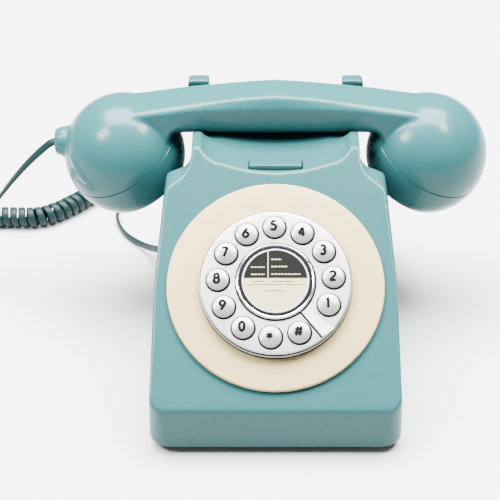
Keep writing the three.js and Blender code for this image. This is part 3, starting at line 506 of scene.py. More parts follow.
def make_finishes(colours):
    """One finish for each kind of surface on the telephone."""
    # housing_teal is the plastic's own teal with painted shade: darker than handset_teal for the
    # housing's less lit faces
    FINISHES["housing_teal"] = glossy_moulding("housing_teal", colours.housing)
    FINISHES["handset_teal"] = glossy_moulding("handset_teal", colours.handset)
    FINISHES["cream_ring"] = (Finish("cream_ring", colours.surround, 0.35, Coat_Weight=0.1,
                                     Coat_Roughness=0.2, Specular_IOR_Level=0.25)
                              .mottle(colours.surround, 0.02, 0.02).rough(0.003, 0.30, 0.40)
                              .bump(0.0008, 0.000006))
    FINISHES["silver_plate"] = (Finish("silver_plate", colours.plate, 0.33, 0.5)
                                .mottle(colours.plate, 0.002, 0.03).rough(0.0015, 0.28, 0.42)
                                .bump(0.0004, 0.000008))
    FINISHES["key_grey"] = (Finish("key_grey", colours.key, 0.3, 0.45, Coat_Weight=0.15,
                                   Coat_Roughness=0.12, Specular_IOR_Level=0.3)
                            .mottle(colours.key, 0.002, 0.03).rough(0.001, 0.26, 0.38)
                            .bump(0.0005, 0.000006))
    FINISHES["numeral_ink"] = (Finish("numeral_ink", colours.ink, 0.6, Specular_IOR_Level=0.0)
                               .mottle(colours.ink, 0.0006, 0.2).rough(0.0006, 0.55, 0.65)
                               .bump(0.0003, 0.000004))
    FINISHES["chrome_trim"] = (Finish("chrome_trim", colours.chrome, 0.08, 1.0)
                               .mottle(colours.chrome, 0.005, 0.02).rough(0.002, 0.05, 0.12)
                               .bump(0.003, 0.000003))
    # the real black ring's own colour, also used for the rings of painted shade round the keys,
    # finger stop, plate side and bezel
    FINISHES["black_trim"] = (Finish("black_trim", colours.black, 0.5, Specular_IOR_Level=0.0)
                              .mottle(colours.black, 0.002, 0.1).rough(0.002, 0.45, 0.55)
                              .bump(0.0006, 0.000005))
    FINISHES["black_plastic"] = (Finish("black_plastic", colours.black, 0.55)
                                 .mottle(colours.black, 0.004, 0.12).rough(0.002, 0.5, 0.65)
                                 .bump(0.0007, 0.00003))
    FINISHES["card_dark"] = (Finish("card_dark", colours.card_dark, 0.6, Specular_IOR_Level=0.0)
                             .mottle(colours.card_dark, 0.001, 0.1).rough(0.001, 0.55, 0.65)
                             .bump(0.0004, 0.000004))
    FINISHES["card_light"] = (Finish("card_light", colours.card_light, 0.45)
                              .mottle(colours.card_light, 0.003, 0.03).rough(0.001, 0.4, 0.5)
                              .bump(0.0004, 0.000004))
    FINISHES["cord_teal"] = (Finish("cord_teal", colours.cord, 0.42, Specular_IOR_Level=0.12)
                             .mottle(colours.cord, 0.01, 0.05).rough(0.003, 0.38, 0.48)
                             .bump(0.0008, 0.00002))
    FINISHES["rubber"] = (Finish("rubber", colours.rubber, 0.85)
                          .mottle(colours.rubber, 0.002, 0.15).rough(0.002, 0.78, 0.92)
                          .bump(0.0005, 0.00004))
    FINISHES["circuit_board"] = (Finish("circuit_board", colours.board, 0.4)
                                 .mottle(colours.board, 0.003, 0.25).rough(0.001, 0.3, 0.5)
                                 .bump(0.0012, 0.00003))
    FINISHES["steel"] = Finish("steel", colours.steel, 0.35, 1.0)
    grain = FINISHES["steel"].stretched((1.0, 12.0, 12.0))
    (FINISHES["steel"].mottle(colours.steel, 0.004, 0.04).rough(0.004, 0.28, 0.42, grain)
     .bump(0.004, 0.00001, where=grain))
    FINISHES["clear_plastic"] = (Finish("clear_plastic", (0.86, 0.90, 0.92), 0.08,
                                        Transmission_Weight=0.85, IOR=1.49)
                                 .mottle((0.86, 0.90, 0.92), 0.003, 0.02).rough(0.002, 0.05, 0.12)
                                 .bump(0.002, 0.00001))
    FINISHES["floor"] = (Finish("floor", colours.floor, 0.7)
                         .mottle(colours.floor, 0.2, 0.01).rough(0.05, 0.65, 0.75)
                         .bump(0.004, 0.00002))


def finish(name):
    return FINISHES[name].material


def dress(node, name):
    """Gives a node that keeps its own shape a finish."""
    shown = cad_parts[node]
    shown.data.materials.clear()
    shown.data.materials.append(finish(name))


# ------------------------------------------------------------------ stage
CAMERA_DISTANCE = 0.85
CAMERA_ELEVATION = math.radians(38.5)
CAMERA_LENS = 107.42
CAMERA_SHIFT = (-0.0512, 0.1638)


def soft_light(name, spot, aim, width, height, watts, tint=(1, 1, 1)):
    light = bpy.data.lights.new(name, "AREA")
    light.shape = "RECTANGLE"
    light.size = width
    light.size_y = height
    light.energy = watts
    light.color = tint
    lamp = bpy.data.objects.new(name, light)
    lamp.location = spot
    lamp.rotation_euler = (Vector(aim) - Vector(spot)).to_track_quat("-Z", "Y").to_euler()
    bpy.context.scene.collection.objects.link(lamp)
    return lamp


# name, place, aim, width and height in metres, watts
SOFT_LIGHTS = (
    ("overhead", (0.0, 0.30, 1.15), (0, 0, 0.05), 1.3, 0.7, 192),
    ("window_left", (-0.62, -0.20, 0.85), (0, 0, 0.08), 0.26, 0.34, 24),
    ("window_right", (0.50, -0.05, 0.95), (0, 0, 0.08), 0.22, 0.22, 16),
)


class TELEPHONE_OT_stage(bpy.types.Operator):
    """Sets the camera, the pale floor and the soft studio light"""

    bl_idname = "telephone.stage"
    bl_label = "Stage"

    def execute(self, context):
        sizes = context.scene.telephone_sizes
        camera_data = bpy.data.cameras.new("studio_camera")
        camera_data.lens = CAMERA_LENS
        camera_data.sensor_width = 36.0
        camera_data.shift_x, camera_data.shift_y = CAMERA_SHIFT
        camera_data.clip_start = 0.01
        camera_data.clip_end = 50.0
        camera = bpy.data.objects.new("studio_camera", camera_data)
        camera.location = ORIGIN + CAMERA_DISTANCE * Vector(
            (0, -math.cos(CAMERA_ELEVATION), math.sin(CAMERA_ELEVATION)))
        camera.rotation_euler = (math.pi / 2 - CAMERA_ELEVATION, 0, 0)
        context.scene.collection.objects.link(camera)
        context.scene.camera = camera

        half = sizes.floor_size / 2
        floor = new_piece("floor", [(-half, -half, 0), (half, -half, 0), (half, half, 0),
                                    (-half, half, 0)], [[0, 1, 2, 3]])
        floor.data.materials.append(finish("floor"))

        world = bpy.data.worlds.new("studio")
        world.use_nodes = True
        world.node_tree.nodes["Background"].inputs["Color"].default_value = (0.95, 0.98, 1.0, 1)
        world.node_tree.nodes["Background"].inputs["Strength"].default_value = 0.35
        context.scene.world = world
        for lamp in SOFT_LIGHTS:
            soft_light(*lamp)
        return {"FINISHED"}


# ------------------------------------------------------------------ cord
# the line that the cord's coil and tails follow, from the handset to the housing
HANDSET_TAIL = (
    (-119.9, 50.5, 95.5), (-124.3, 50.5, 94.8), (-128.5, 50.7, 91.6), (-134.5, 51.2, 85.8),
    (-142, 52.3, 77.5), (-150, 53.7, 67.5), (-158, 55.5, 56.5), (-166, 58, 45),
    (-173.5, 61.2, 33.5), (-180.5, 65, 22.5), (-187, 69, 12.5), (-192.5, 71, 7.6),
    (-196.5, 69, 6.6), (-197.3, 65.5, 6.6),
)
COIL = (
    (-197.3, 61.9, 6.6), (-197.4, 50, 6.6), (-193, 36, 6.6), (-182, 26, 6.6), (-173, 14, 6.6),
    (-174, -3, 6.6), (-188, -17, 6.6), (-208, -20, 6.6), (-228, -11, 6.6), (-242, 8, 6.6),
    (-247, 34, 6.6), (-244, 60, 6.6), (-233, 83, 6.6), (-214, 99, 6.6), (-192, 106, 6.6),
    (-170, 107, 6.6), (-148, 107, 6.6), (-136, 113.5, 6.6), (-127, 122, 6.6),
    (-119.5, 130, 6.6), (-113, 138, 6.6),
)
HOUSING_TAIL = (
    (-108.6, 143.4, 5.4), (-102, 146, 3.2), (-96.5, 140.5, 2.4), (-96, 129, 2.4),
    (-99.5, 118, 2.4), (-98, 106, 2.4), (-93, 94.5, 2.4), (-86, 86, 2.8), (-79, 78, 4.7),
    (-74, 71, 8), (-70.5, 65, 11.5), (-66.5, 62.3, 13), (-61.2, 62, 13),
)


LINE_STEP = 0.25  # between two points of the line
TAIL_STEP = 2.0  # between two sections of a tail
SECTIONS_PER_TURN = 20
SECTION_POINTS = 12
TWIST_AFTER_BUSH = 90  # length over which the cord turns from its edge to flat
TWIST_AFTER_COIL = 25  # length over which it turns back on edge


def catmull_rom(points, steps):
    """Points on one smooth curve through the given ones, with uniform parameter."""
    guides = [Vector(p) for p in points]
    guides = [guides[0] * 2 - guides[1], *guides, guides[-1] * 2 - guides[-2]]
    line = []
    for i in range(1, len(guides) - 2):
        a, b, c, d = guides[i - 1:i + 3]
        for k in range(steps):
            t = k / steps
            line.append(0.5 * (2 * b + (c - a) * t + (2 * a - 5 * b + 4 * c - d) * t * t
                               + (3 * b - a - 3 * c + d) * t ** 3))
    return line + [guides[-2]]


def evenly(line, step):
    """The same line with points an even step apart."""
    even = [line[0]]
    left = step
    for a, b in zip(line, line[1:]):
        span = (b - a).length
        while span >= left:
            a = a + (b - a) * (left / span)
            even.append(a)
            span = (b - a).length
            left = step
        left -= span
    return even


def smooth_step(value):
    value = max(0.0, min(1.0, value))
    return value * value * (3 - 2 * value)


def upright(along):
    """The direction across the line that is nearest to straight up."""
    return (Vector((0, 0, 1)) - along * along.z).normalized()


class TELEPHONE_OT_cord(bpy.types.Operator):
    """Makes the curly handset cord, one flat cord from the handset to the housing"""

    bl_idname = "telephone.cord"
    bl_label = "Handset cord"

    def execute(self, context):
        sizes = context.scene.telephone_sizes
        width, thickness = sizes.cord_width / MM, sizes.cord_thickness / MM
        radius, pitch = sizes.coil_radius / MM, sizes.coil_pitch / MM
        line = evenly(catmull_rom(HANDSET_TAIL + COIL + HOUSING_TAIL, 60), LINE_STEP)
        coil_start = min(range(len(line)), key=lambda i: (line[i] - Vector(COIL[0])).length)
        coil_end = min(range(len(line)), key=lambda i: (line[i] - Vector(COIL[-1])).length)
        coil_length = (coil_end - coil_start) * LINE_STEP
        turns = round(coil_length / pitch)
        lead = 1.2 * pitch
        path = []
        radials = []
        i = 0.0
        while i <= len(line) - 2:
            k = int(i)
            share = i - k
            centre = line[k].lerp(line[k + 1], share)
            along = (line[min(k + 3, len(line) - 1)] - line[max(k - 3, 0)]).normalized()
            normal = upright(along)
            side = along.cross(normal)
            s = (i - coil_start) * LINE_STEP
            swell = smooth_step(s / lead) * smooth_step((coil_length - s) / lead)
            angle = 2 * math.pi * turns * max(0.0, min(1.0, s / coil_length))
            # the flat cord leaves the bush leaning, lies flat before the coil and on edge after it
            angle -= 0.25 * math.pi * (1 - smooth_step(i * LINE_STEP / TWIST_AFTER_BUSH))
            angle += 0.5 * math.pi * smooth_step((s - coil_length) / TWIST_AFTER_COIL)
            out = normal * math.cos(angle) + side * math.sin(angle)
            path.append(centre + out * radius * swell)
            radials.append(out)
            in_coil = -pitch < s < coil_length + pitch
            i += (coil_length / turns / SECTIONS_PER_TURN if in_coil else TAIL_STEP) / LINE_STEP
        path.append(line[-1])
        radials.append(radials[-1])

        rings = []
        for j, point in enumerate(path):
            along = (path[min(j + 1, len(path) - 1)] - path[max(j - 1, 0)]).normalized()
            out = (radials[j] - along * radials[j].dot(along)).normalized()
            side = along.cross(out)
            ring = []
            for k in range(SECTION_POINTS):
                turn = 2 * math.pi * k / SECTION_POINTS
                across = math.copysign(abs(math.cos(turn)) ** 0.7, math.cos(turn)) * width / 2
                deep = math.copysign(abs(math.sin(turn)) ** 0.8, math.sin(turn)) * thickness / 2
                ring.append(point + side * across + out * deep)
            rings.append(ring)
        cord = loft("handset_cord", rings)
        to_frame = Matrix.Translation(ORIGIN) @ Matrix.Scale(MM, 4)
        cord.data.transform(to_frame)
        for polygon in cord.data.polygons:
            polygon.use_smooth = True
        cord.data.materials.append(finish("cord_teal"))
        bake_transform(cord)
        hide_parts("cord_tail_handset", "cord_curl", "cord_tail_base")
        dress("plug_handset", "clear_plastic")
        dress("plug_base", "clear_plastic")
        return {"FINISHED"}


# ------------------------------------------------------------------ housing
def plan_outline(shrink):
    w = BODY_HALF_WIDTH - shrink
    front = FRONT_Y - FRONT_DRAFT + shrink
    rear = REAR_Y - shrink
    r = CORNER_RADIUS - shrink
    s = REAR_CORNER_RADIUS - shrink
    quarter = math.pi / 2
    return (arc_points(w - r, front + r, r, -quarter, 0, 14)
            + arc_points(w - s, rear - s, s, 0, quarter, 18)
            + arc_points(-w + s, rear - s, s, quarter, 2 * quarter, 18)
            + arc_points(-w + r, front + r, r, 2 * quarter, 3 * quarter, 14))


def side_outline():
    return [
        (FRONT_Y - FRONT_DRAFT, FOOT_HEIGHT), (REAR_Y, FOOT_HEIGHT), (REAR_Y - 2, REAR_DECK_Z),
        (REAR_Y - 10, REAR_DECK_Z + 2), (CHANNEL_REAR + REAR_HORN_THICKNESS, REAR_HORN_TOP),
        (HANDSET_Y, REAR_HORN_TOP), (HANDSET_Y - 2, HORN_Z),
        (face_y(HORN_ALONG), HORN_Z), (FRONT_Y, CREASE_Z),
    ]


def front_outline():
    middle = SHOULDER_ALONG * 0.55
    right = [
        (BODY_HALF_WIDTH, FOOT_HEIGHT), (CREASE_HALF_WIDTH, CREASE_Z),
        (CREASE_HALF_WIDTH - 1.2, face_z(middle)),
        (SHOULDER_HALF_WIDTH + 2.6, face_z((middle + SHOULDER_ALONG) / 2)),
        (SHOULDER_HALF_WIDTH, face_z(SHOULDER_ALONG)), (NECK_HALF_WIDTH, face_z(NECK_ALONG)),
        (NECK_HALF_WIDTH + 0.3, REAR_HORN_TOP + 1),
    ]
    return right + [(-x, z) for x, z in reversed(right)]


def dome_recess(side, grow):
    """Room beside the neck for a round end of the handset."""
    foot = face_y(NECK_ALONG) + SHOULDER_THICKNESS
    points = inset([(foot, face_z(NECK_ALONG) + 2), (foot + RECESS_DRAFT, RECESS_FLOOR),
                    (REAR_Y + 20, REAR_DECK_Z - 4), (REAR_Y + 20, FAR), (foot, FAR)], -grow)
    inner = NECK_HALF_WIDTH - grow
    rounded = fillet(points, [0, 8, 0, 0, 0], 6)
    return prism(rounded, "x", inner, FAR) if side > 0 else prism(rounded, "x", -FAR, -inner)


def scoop(grow):
    w = SCOOP_HALF_WIDTH + grow
    floor = LIP_Z - grow
    edge = floor + SCOOP_EDGE_RISE
    bend = w - SCOOP_CORNER
    points = [(w, FAR), (-w, FAR), (-w, edge + SCOOP_CORNER)]
    points += quadratic(points[-1], (-w, edge + 1), (-bend, edge), 12)
    points += quadratic(points[-1], (0, floor * 2 - edge), (bend, edge), 24)
    points += quadratic(points[-1], (w, edge + 1), (w, edge + SCOOP_CORNER), 12)
    return prism(points, "y", FRONT_Y, CHANNEL_REAR + grow)


def housing_block(shrink):
    crease = 3.0 if shrink == 0 else 0.5
    sides = inset(side_outline(), shrink)
    radii = [0, 0, crease, 4, 3, 3, 1.5, 1.5, crease]
    body = prism(fillet(sides, radii, 6), "x", -BODY_HALF_WIDTH, BODY_HALF_WIDTH)
    front = inset(front_outline(), shrink)
    soft = [0, 12, 30, 30, 4, 10, 0]
    body = combine(body, [
        prism(fillet(front, soft + soft[::-1], 8), "y", FRONT_Y - 5, REAR_Y + 5),
        prism(plan_outline(shrink), "z", -20, REAR_HORN_TOP + 20),
    ], "INTERSECT")
    gap = REAR_HORN_INNER + shrink
    cuts = [dome_recess(1, shrink), dome_recess(-1, shrink), scoop(shrink),
            block((-gap, CHANNEL_REAR - 1, LIP_Z - shrink), (gap, REAR_Y + 10, FAR)),
            block((-FAR, CHANNEL_FRONT - shrink, HANDLE_BOTTOM - GAP - shrink),
                  (FAR, CHANNEL_REAR + shrink, FAR))]
    return combine(body, cuts, "DIFFERENCE")


def rear_horn(side):
    points = [(REAR_HORN_INNER, REAR_DECK_Z), (NECK_HALF_WIDTH - WALL / 2, REAR_DECK_Z),
              (REAR_HORN_OUTER, REAR_HORN_TOP - 10), (REAR_HORN_OUTER, REAR_HORN_TOP),
              (REAR_HORN_INNER, REAR_HORN_TOP)]
    outline = fillet(points, [0, 0, 6, 2.5, 2.5], 5)
    return prism([(side * x, z) for x, z in outline], "y", CHANNEL_REAR,
                 CHANNEL_REAR + REAR_HORN_THICKNESS)


JACK_Y, JACK_Z = 62.0, 13.0
LINE_JACK_X, SWITCH_X = 24.0, -24.0
HOOK_FRONT = LIP_Y + 3.0
HOOK_REAR = HOOK_FRONT + 7.5
HOOK_HALF_WIDTH = 14.0
PAD_HALF_WIDTH, PAD_HALF_DEPTH = 8.0, 5.0
PAD_Y = HANDSET_Y + 2
SPIGOT_HOLE = 46.3


class TELEPHONE_OT_housing(bpy.types.Operator):
    """Makes the moulded housing with its cradle, horns and openings"""

    bl_idname = "telephone.housing"
    bl_label = "Housing"

    def execute(self, context):
        sizes = context.scene.telephone_sizes
        shell = combine(housing_block(0.0), [rear_horn(1), rear_horn(-1)], "UNION")
        shell = mould(shell, sizes.housing_grain / MM, sizes.housing_rounding)
        hollow = combine(housing_block(WALL),
                         [prism(plan_outline(WALL), "z", -1, FOOT_HEIGHT + 4.2)],
                         "UNION")
        run = 0.5
        cuts = [
            hollow,
            place(rod(SPIGOT_HOLE, -12, 12, 96), DIAL_FRAME),
            block((-HOOK_HALF_WIDTH - run, HOOK_FRONT - run, LIP_Z - 12),
                  (HOOK_HALF_WIDTH + run, HOOK_REAR + run, LIP_Z + 12)),
            block((-PAD_HALF_WIDTH - run, PAD_Y - PAD_HALF_DEPTH - run, LIP_Z - 12),
                  (PAD_HALF_WIDTH + run, PAD_Y + PAD_HALF_DEPTH + run, LIP_Z + 12)),
            block((-BODY_HALF_WIDTH - 5, JACK_Y - 4.3, JACK_Z - 3.6),
                  (-BODY_HALF_WIDTH + 9, JACK_Y + 4.3, JACK_Z + 3.6)),
            block((LINE_JACK_X - 5.2, REAR_Y - 9, JACK_Z - 3.8),
                  (LINE_JACK_X + 5.2, REAR_Y + 5, JACK_Z + 3.8)),
            block((SWITCH_X - 4.3, REAR_Y - 9, JACK_Z - 2.4),
                  (SWITCH_X + 4.3, REAR_Y + 5, JACK_Z + 2.4)),
        ]
        combine(shell, cuts, "DIFFERENCE")
        settle(shell, "moulded_housing", finish("housing_teal"), "housing",
               ["body_shell"])
        return {"FINISHED"}


class TELEPHONE_OT_hook(bpy.types.Operator):
    """Makes the hook bar that the handset's handle holds down"""

    bl_idname = "telephone.hook"
    bl_label = "Hook bar"

    def execute(self, context):
        bridge_top = LIP_Z - WALL - 5.0
        bridge_foot = bridge_top - 4.0
        top = LIP_Z + 2.6
        middle = (HOOK_FRONT + HOOK_REAR) / 2
        w = HOOK_HALF_WIDTH
        outline = [(-w, HOOK_FRONT), (w, HOOK_FRONT), (w, HOOK_REAR), (-w, HOOK_REAR)]
        tab = rounded_edges(prism(fillet(outline, 1.2, 4), "z", bridge_foot, top), 0.7)
        pad = rounded_edges(block(
            (-PAD_HALF_WIDTH, PAD_Y - PAD_HALF_DEPTH, bridge_foot),
            (PAD_HALF_WIDTH, PAD_Y + PAD_HALF_DEPTH, HANDLE_BOTTOM - 0.5)), 0.8)
        bar = combine(tab, [
            pad,
            block((-4, HOOK_REAR - 1, bridge_foot + 0.1),
                  (4, PAD_Y + PAD_HALF_DEPTH - 1, bridge_top)),
            block((-4, middle - 3, LIP_Z - 30), (4, middle + 3, bridge_foot + 1)),
            block((3, middle - 2, LIP_Z - 29), (12, middle + 2, LIP_Z - 26)),
        ], "UNION")
        settle(bar, "hook_lever", finish("housing_teal"), "hook", ["hook_bar"])
        return {"FINISHED"}


# ------------------------------------------------------------------ dial
def key_places():
    for i, key in enumerate(KEY_NAMES):
        angle = FIRST_KEY + i * KEY_PITCH
        yield key, KEY_CIRCLE * math.cos(angle), KEY_CIRCLE * math.sin(angle)


class TELEPHONE_OT_dial(bpy.types.Operator):
    """Makes the cream surround, the silver plate with its key holes and finger stop, and black
    rings of painted shade on the dial
    """

    bl_idname = "telephone.dial"
    bl_label = "Dial plate"

    def execute(self, context):
        sizes = context.scene.telephone_sizes
        surround = turned("surround", fillet([
            (SURROUND_BORE, GAP), (43.5, GAP), (43.5, -WALL - 2), (46, -WALL - 2), (46, GAP),
            (SURROUND_RADIUS, GAP), (SURROUND_RADIUS, SURROUND_TOP), (SURROUND_BORE, SURROUND_TOP),
        ], [0, 0, 0.3, 0.3, 0, 0.3, 1.1, 0.3], 5), 160)
        settle(place(surround, DIAL_FRAME), "dial_ring", finish("cream_ring"), "housing",
               ["dial_surround"], sharp=30)

        rim = PLATE_RADIUS
        bore = REDIAL_RADIUS + 0.5
        plate = turned("plate", fillet([
            (rim - 2, PLATE_FOOT), (rim, PLATE_FOOT), (rim, PLATE_FOOT + 0.9),
            (rim + 0.5, PLATE_FOOT + 1.0), (rim + 0.4, PLATE_RISE - 2.5),
            (rim - 0.1, PLATE_RISE - 2.4), (rim - 0.2, PLATE_RISE), (bore, PLATE_RISE),
            (bore, PLATE_RISE - PLATE_SKIN),
            (rim - 2.2, PLATE_RISE - PLATE_SKIN),
        ], [0.2, 0.2, 0.2, 0.1, 0.1, 0.2, 0.9, 0.2, 0, 0], 4), 160)
        fin_inner, fin_outer = BEZEL_RADIUS + 1.6, rim - 0.9
        fin = loft("fin", [[(x, -0.4, PLATE_RISE - 0.6), (x, reach, PLATE_RISE - 0.6),
                            (x, reach, PLATE_RISE - 0.3), (x, 0.5, PLATE_RISE + high),
                            (x, 0.0, PLATE_RISE + high)]
                           for x, reach, high in ((fin_inner, 3.5, 0.7), (fin_outer, 8.5, 1.1))])
        place(fin, Matrix.Rotation(STOP_ANGLE, 4, "Z"))
        inside = turned("inside", [(0, 0), (rim - 0.3, 0), (rim - 0.3, 20), (0, 20)], 160)
        combine(fin, [inside], "INTERSECT")
        combine(plate, [fin], "UNION")
        hole = sizes.key_radius / MM + 0.45
        combine(plate, [place(rod(hole, 0, 20, 40), Matrix.Translation((x, y, 0)))
                        for _, x, y in key_places()], "DIFFERENCE")
        settle(place(plate, DIAL_FRAME), "silver_dial", finish("silver_plate"), "housing",
               ["dial_plate"], sharp=25)

        # painted shade: black rings round each key, a black strip along the finger stop's foot,
        # black bands round the plate's side and a black ring round the bezel stand for the shadows
        # in the gaps and under the edges
        edge_low, edge_high = PLATE_RISE - 0.5, PLATE_RISE + 0.12
        key_opening = sizes.key_radius / MM + 0.12
        # painted shadow: the rings lean to the lower right, where the shadow in the key gaps is
        # heavier
        shadow_lean = 0.14  # each ring is a little wider on its lower right side
        shade_rings = [combine(rod(hole + 0.38, edge_low, edge_high), [
            place(rod(key_opening, 0, 20), Matrix.Translation((-shadow_lean, shadow_lean, 0)))], "DIFFERENCE")
                   for _ in KEY_NAMES]
        for shade_ring, (_, x, y) in zip(shade_rings, key_places()):
            place(shade_ring, Matrix.Translation((x + shadow_lean, y - shadow_lean, 0)))
        shade_rings.append(place(block((fin_inner - 1.0, -0.95, edge_low),
                                   (fin_outer, -0.1, edge_high + 0.1)),
                             Matrix.Rotation(STOP_ANGLE, 4, "Z")))
        shade_rings += [turned("shade_ring",
                           [(inner, low), (outer, low), (outer, high), (inner, high)], 160)
                    for inner, outer, low, high in (
                        (rim - 0.3, rim + 0.8, PLATE_FOOT, PLATE_FOOT + 0.9),
                        (rim - 0.9, rim + 0.1, PLATE_RISE - 2.4, PLATE_RISE - 0.8),
                        (BEZEL_RADIUS - 0.2, BEZEL_RADIUS + 0.75,
                         PLATE_RISE - 0.2, PLATE_RISE + 0.3))]
        painted_shade = combine(shade_rings[0], shade_rings[1:], "UNION")
        settle(place(painted_shade, DIAL_FRAME), "dial_painted_shade_rings", finish("black_trim"), "housing",
               sharp=30)
        dress("key_mat", "rubber")
        dress("keypad_board", "circuit_board")
        return {"FINISHED"}


# rows of dashes on the card: height, first x, last x, finish
DASH_ROWS = (
    (11.6, -2.2, 3.0, "card_light"), (7.7, -2.2, 6.2, "card_light"),
    (3.6, -2.2, 13.0, "card_light"),
    (7.4, -12.6, -5.6, "card_light"), (3.5, -12.6, -5.6, "card_light"),
    (-0.4, -11.6, -5.6, "card_dark"), (-0.4, -1.2, 9.2, "card_dark"),
    (-5.4, -5.4, 4.6, "card_dark"),
)
DASH = 1.25
DASH_GAP = 0.45
DASH_HALF_HEIGHT = 0.3


def key_surface(radius, r):
    """Height of a key's crown at r from its middle."""
    return KEY_CROWN - 1.2 * (min(r, radius) / radius) ** 2


def glyph_arc(x, y, radius, start, end, tall=1.0):
    """Points on an arc, from start to end in degrees, stretched upward by tall."""
    steps = max(6, int(abs(end - start) / 15))
    return [(x + radius * math.cos(math.radians(start + (end - start) * k / steps)),
             y + tall * radius * math.sin(math.radians(start + (end - start) * k / steps)))
            for k in range(steps + 1)]


def loop_halves(x, y, radius, tall=1.0):
    return [glyph_arc(x, y, radius, -4, 184, tall), glyph_arc(x, y, radius, 176, 364, tall)]


# the middle lines of each mark's strokes, in a box one unit tall
GLYPHS = {
    "1": [[(0.17, 0.80), (0.34, 0.95), (0.34, 0.03)]],
    "2": [glyph_arc(0.31, 0.69, 0.24, 165, -42) + [(0.07, 0.08)], [(0.03, 0.08), (0.60, 0.08)]],
    "3": [glyph_arc(0.29, 0.72, 0.21, 150, -95), glyph_arc(0.28, 0.30, 0.24, 95, -150)],
    "4": [[(0.44, 0.02), (0.44, 0.93)], [(0.42, 0.93), (0.05, 0.31)], [(0.02, 0.29), (0.62, 0.29)]],
    "5": [[(0.54, 0.92), (0.17, 0.92)], [(0.19, 0.94), (0.13, 0.52)],
          glyph_arc(0.28, 0.32, 0.26, 125, -145)],
    "6": [*loop_halves(0.31, 0.30, 0.24), [(0.46, 0.95), (0.22, 0.63), (0.09, 0.38)]],
    "7": [[(0.03, 0.92), (0.56, 0.92)], [(0.55, 0.94), (0.20, 0.03)]],
    "8": [*loop_halves(0.30, 0.73, 0.20), *loop_halves(0.30, 0.29, 0.24)],
    "9": [*loop_halves(0.29, 0.70, 0.24), [(0.51, 0.62), (0.38, 0.37), (0.14, 0.05)]],
    "0": loop_halves(0.30, 0.50, 0.23, 1.85),
    "star": [[(0.30, 0.12), (0.30, 0.88)], [(-0.03, 0.31), (0.63, 0.69)],
             [(-0.03, 0.69), (0.63, 0.31)]],
    "hash": [[(0.10, 0.05), (0.26, 0.95)], [(0.40, 0.05), (0.56, 0.95)],
             [(-0.02, 0.66), (0.68, 0.66)], [(-0.06, 0.34), (0.64, 0.34)]],
}
STROKE = 0.26


def numeral(name, key, height, surface, where):
    """A printed mark of plain strokes that follows the crown under it."""
    bodies = []
    for stroke in GLYPHS[key]:
        line = [Vector(stroke[0])]
        for end in stroke[1:]:
            start = line[-1].copy()
            steps = max(1, math.ceil((Vector(end) - start).length / 0.16))
            line += [start.lerp(Vector(end), (k + 1) / steps) for k in range(steps)]
        rings = []
        for i, point in enumerate(line):
            before = (point - line[i - 1]).normalized() if i else None
            after = (line[i + 1] - point).normalized() if i + 1 < len(line) else before
            before = before or after
            across = Vector((-(before + after).y, (before + after).x)).normalized()
            widen = 1 / max(0.6, math.sqrt((1 + before.dot(after)) / 2))
            ring = []
            for side, deep in ((1, True), (-1, True), (-1, False), (1, False)):
                spot = point + across * side * widen * STROKE / 2 - Vector((0.31, 0.5))
                spot = spot * height + Vector(where)
                level = surface(spot.length)
                ring.append((*spot, level - 0.25 if deep else level + 0.05))
            rings.append(ring)
        bodies.append(loft(name, rings))
    return combine(bodies[0], bodies[1:], "UNION")


class TELEPHONE_OT_keys(bpy.types.Operator):
    """Makes the twelve push keys and the numerals printed on them"""

    bl_idname = "telephone.keys"
    bl_label = "Push keys"

    def execute(self, context):
        sizes = context.scene.telephone_sizes
        radius = sizes.key_radius / MM
        height = sizes.numeral_height / MM
        for key, x, y in key_places():
            spot = DIAL_FRAME @ Matrix.Translation((x, y, 0))
            skirt = KEY_FOOT + 1.2
            crown = [(radius * k / 8, key_surface(radius, radius * k / 8)) for k in range(8)]
            profile = [(0, KEY_FOOT), (radius + 0.7, KEY_FOOT), (radius + 0.7, skirt),
                       (radius, skirt), (radius, key_surface(radius, radius) - 0.35)]
            edge = arc_points(radius - 0.5, key_surface(radius, radius) - 0.35,
                              0.5, 0, math.pi * 0.42, 5)
            cap = turned("cap", profile[:-1] + edge + crown[::-1], 48)
            body = f"key_{key}_body"
            settle(place(cap, spot), f"push_key_{key}", finish("key_grey"), body,
                   [f"key_{key}"], sharp=35)
            tall = height * (0.85 if key == "star" else 1.05)
            ink = numeral(f"numeral_{key}", key, tall, lambda r: key_surface(radius, r),
                          (-0.45, 0.35))
            settle(place(ink, spot), f"numeral_{key}", finish("numeral_ink"), body)
        return {"FINISHED"}


def card_piece(outline, low, high):
    return rounded_edges(prism(outline, "z", low, high), 0.03, 1)


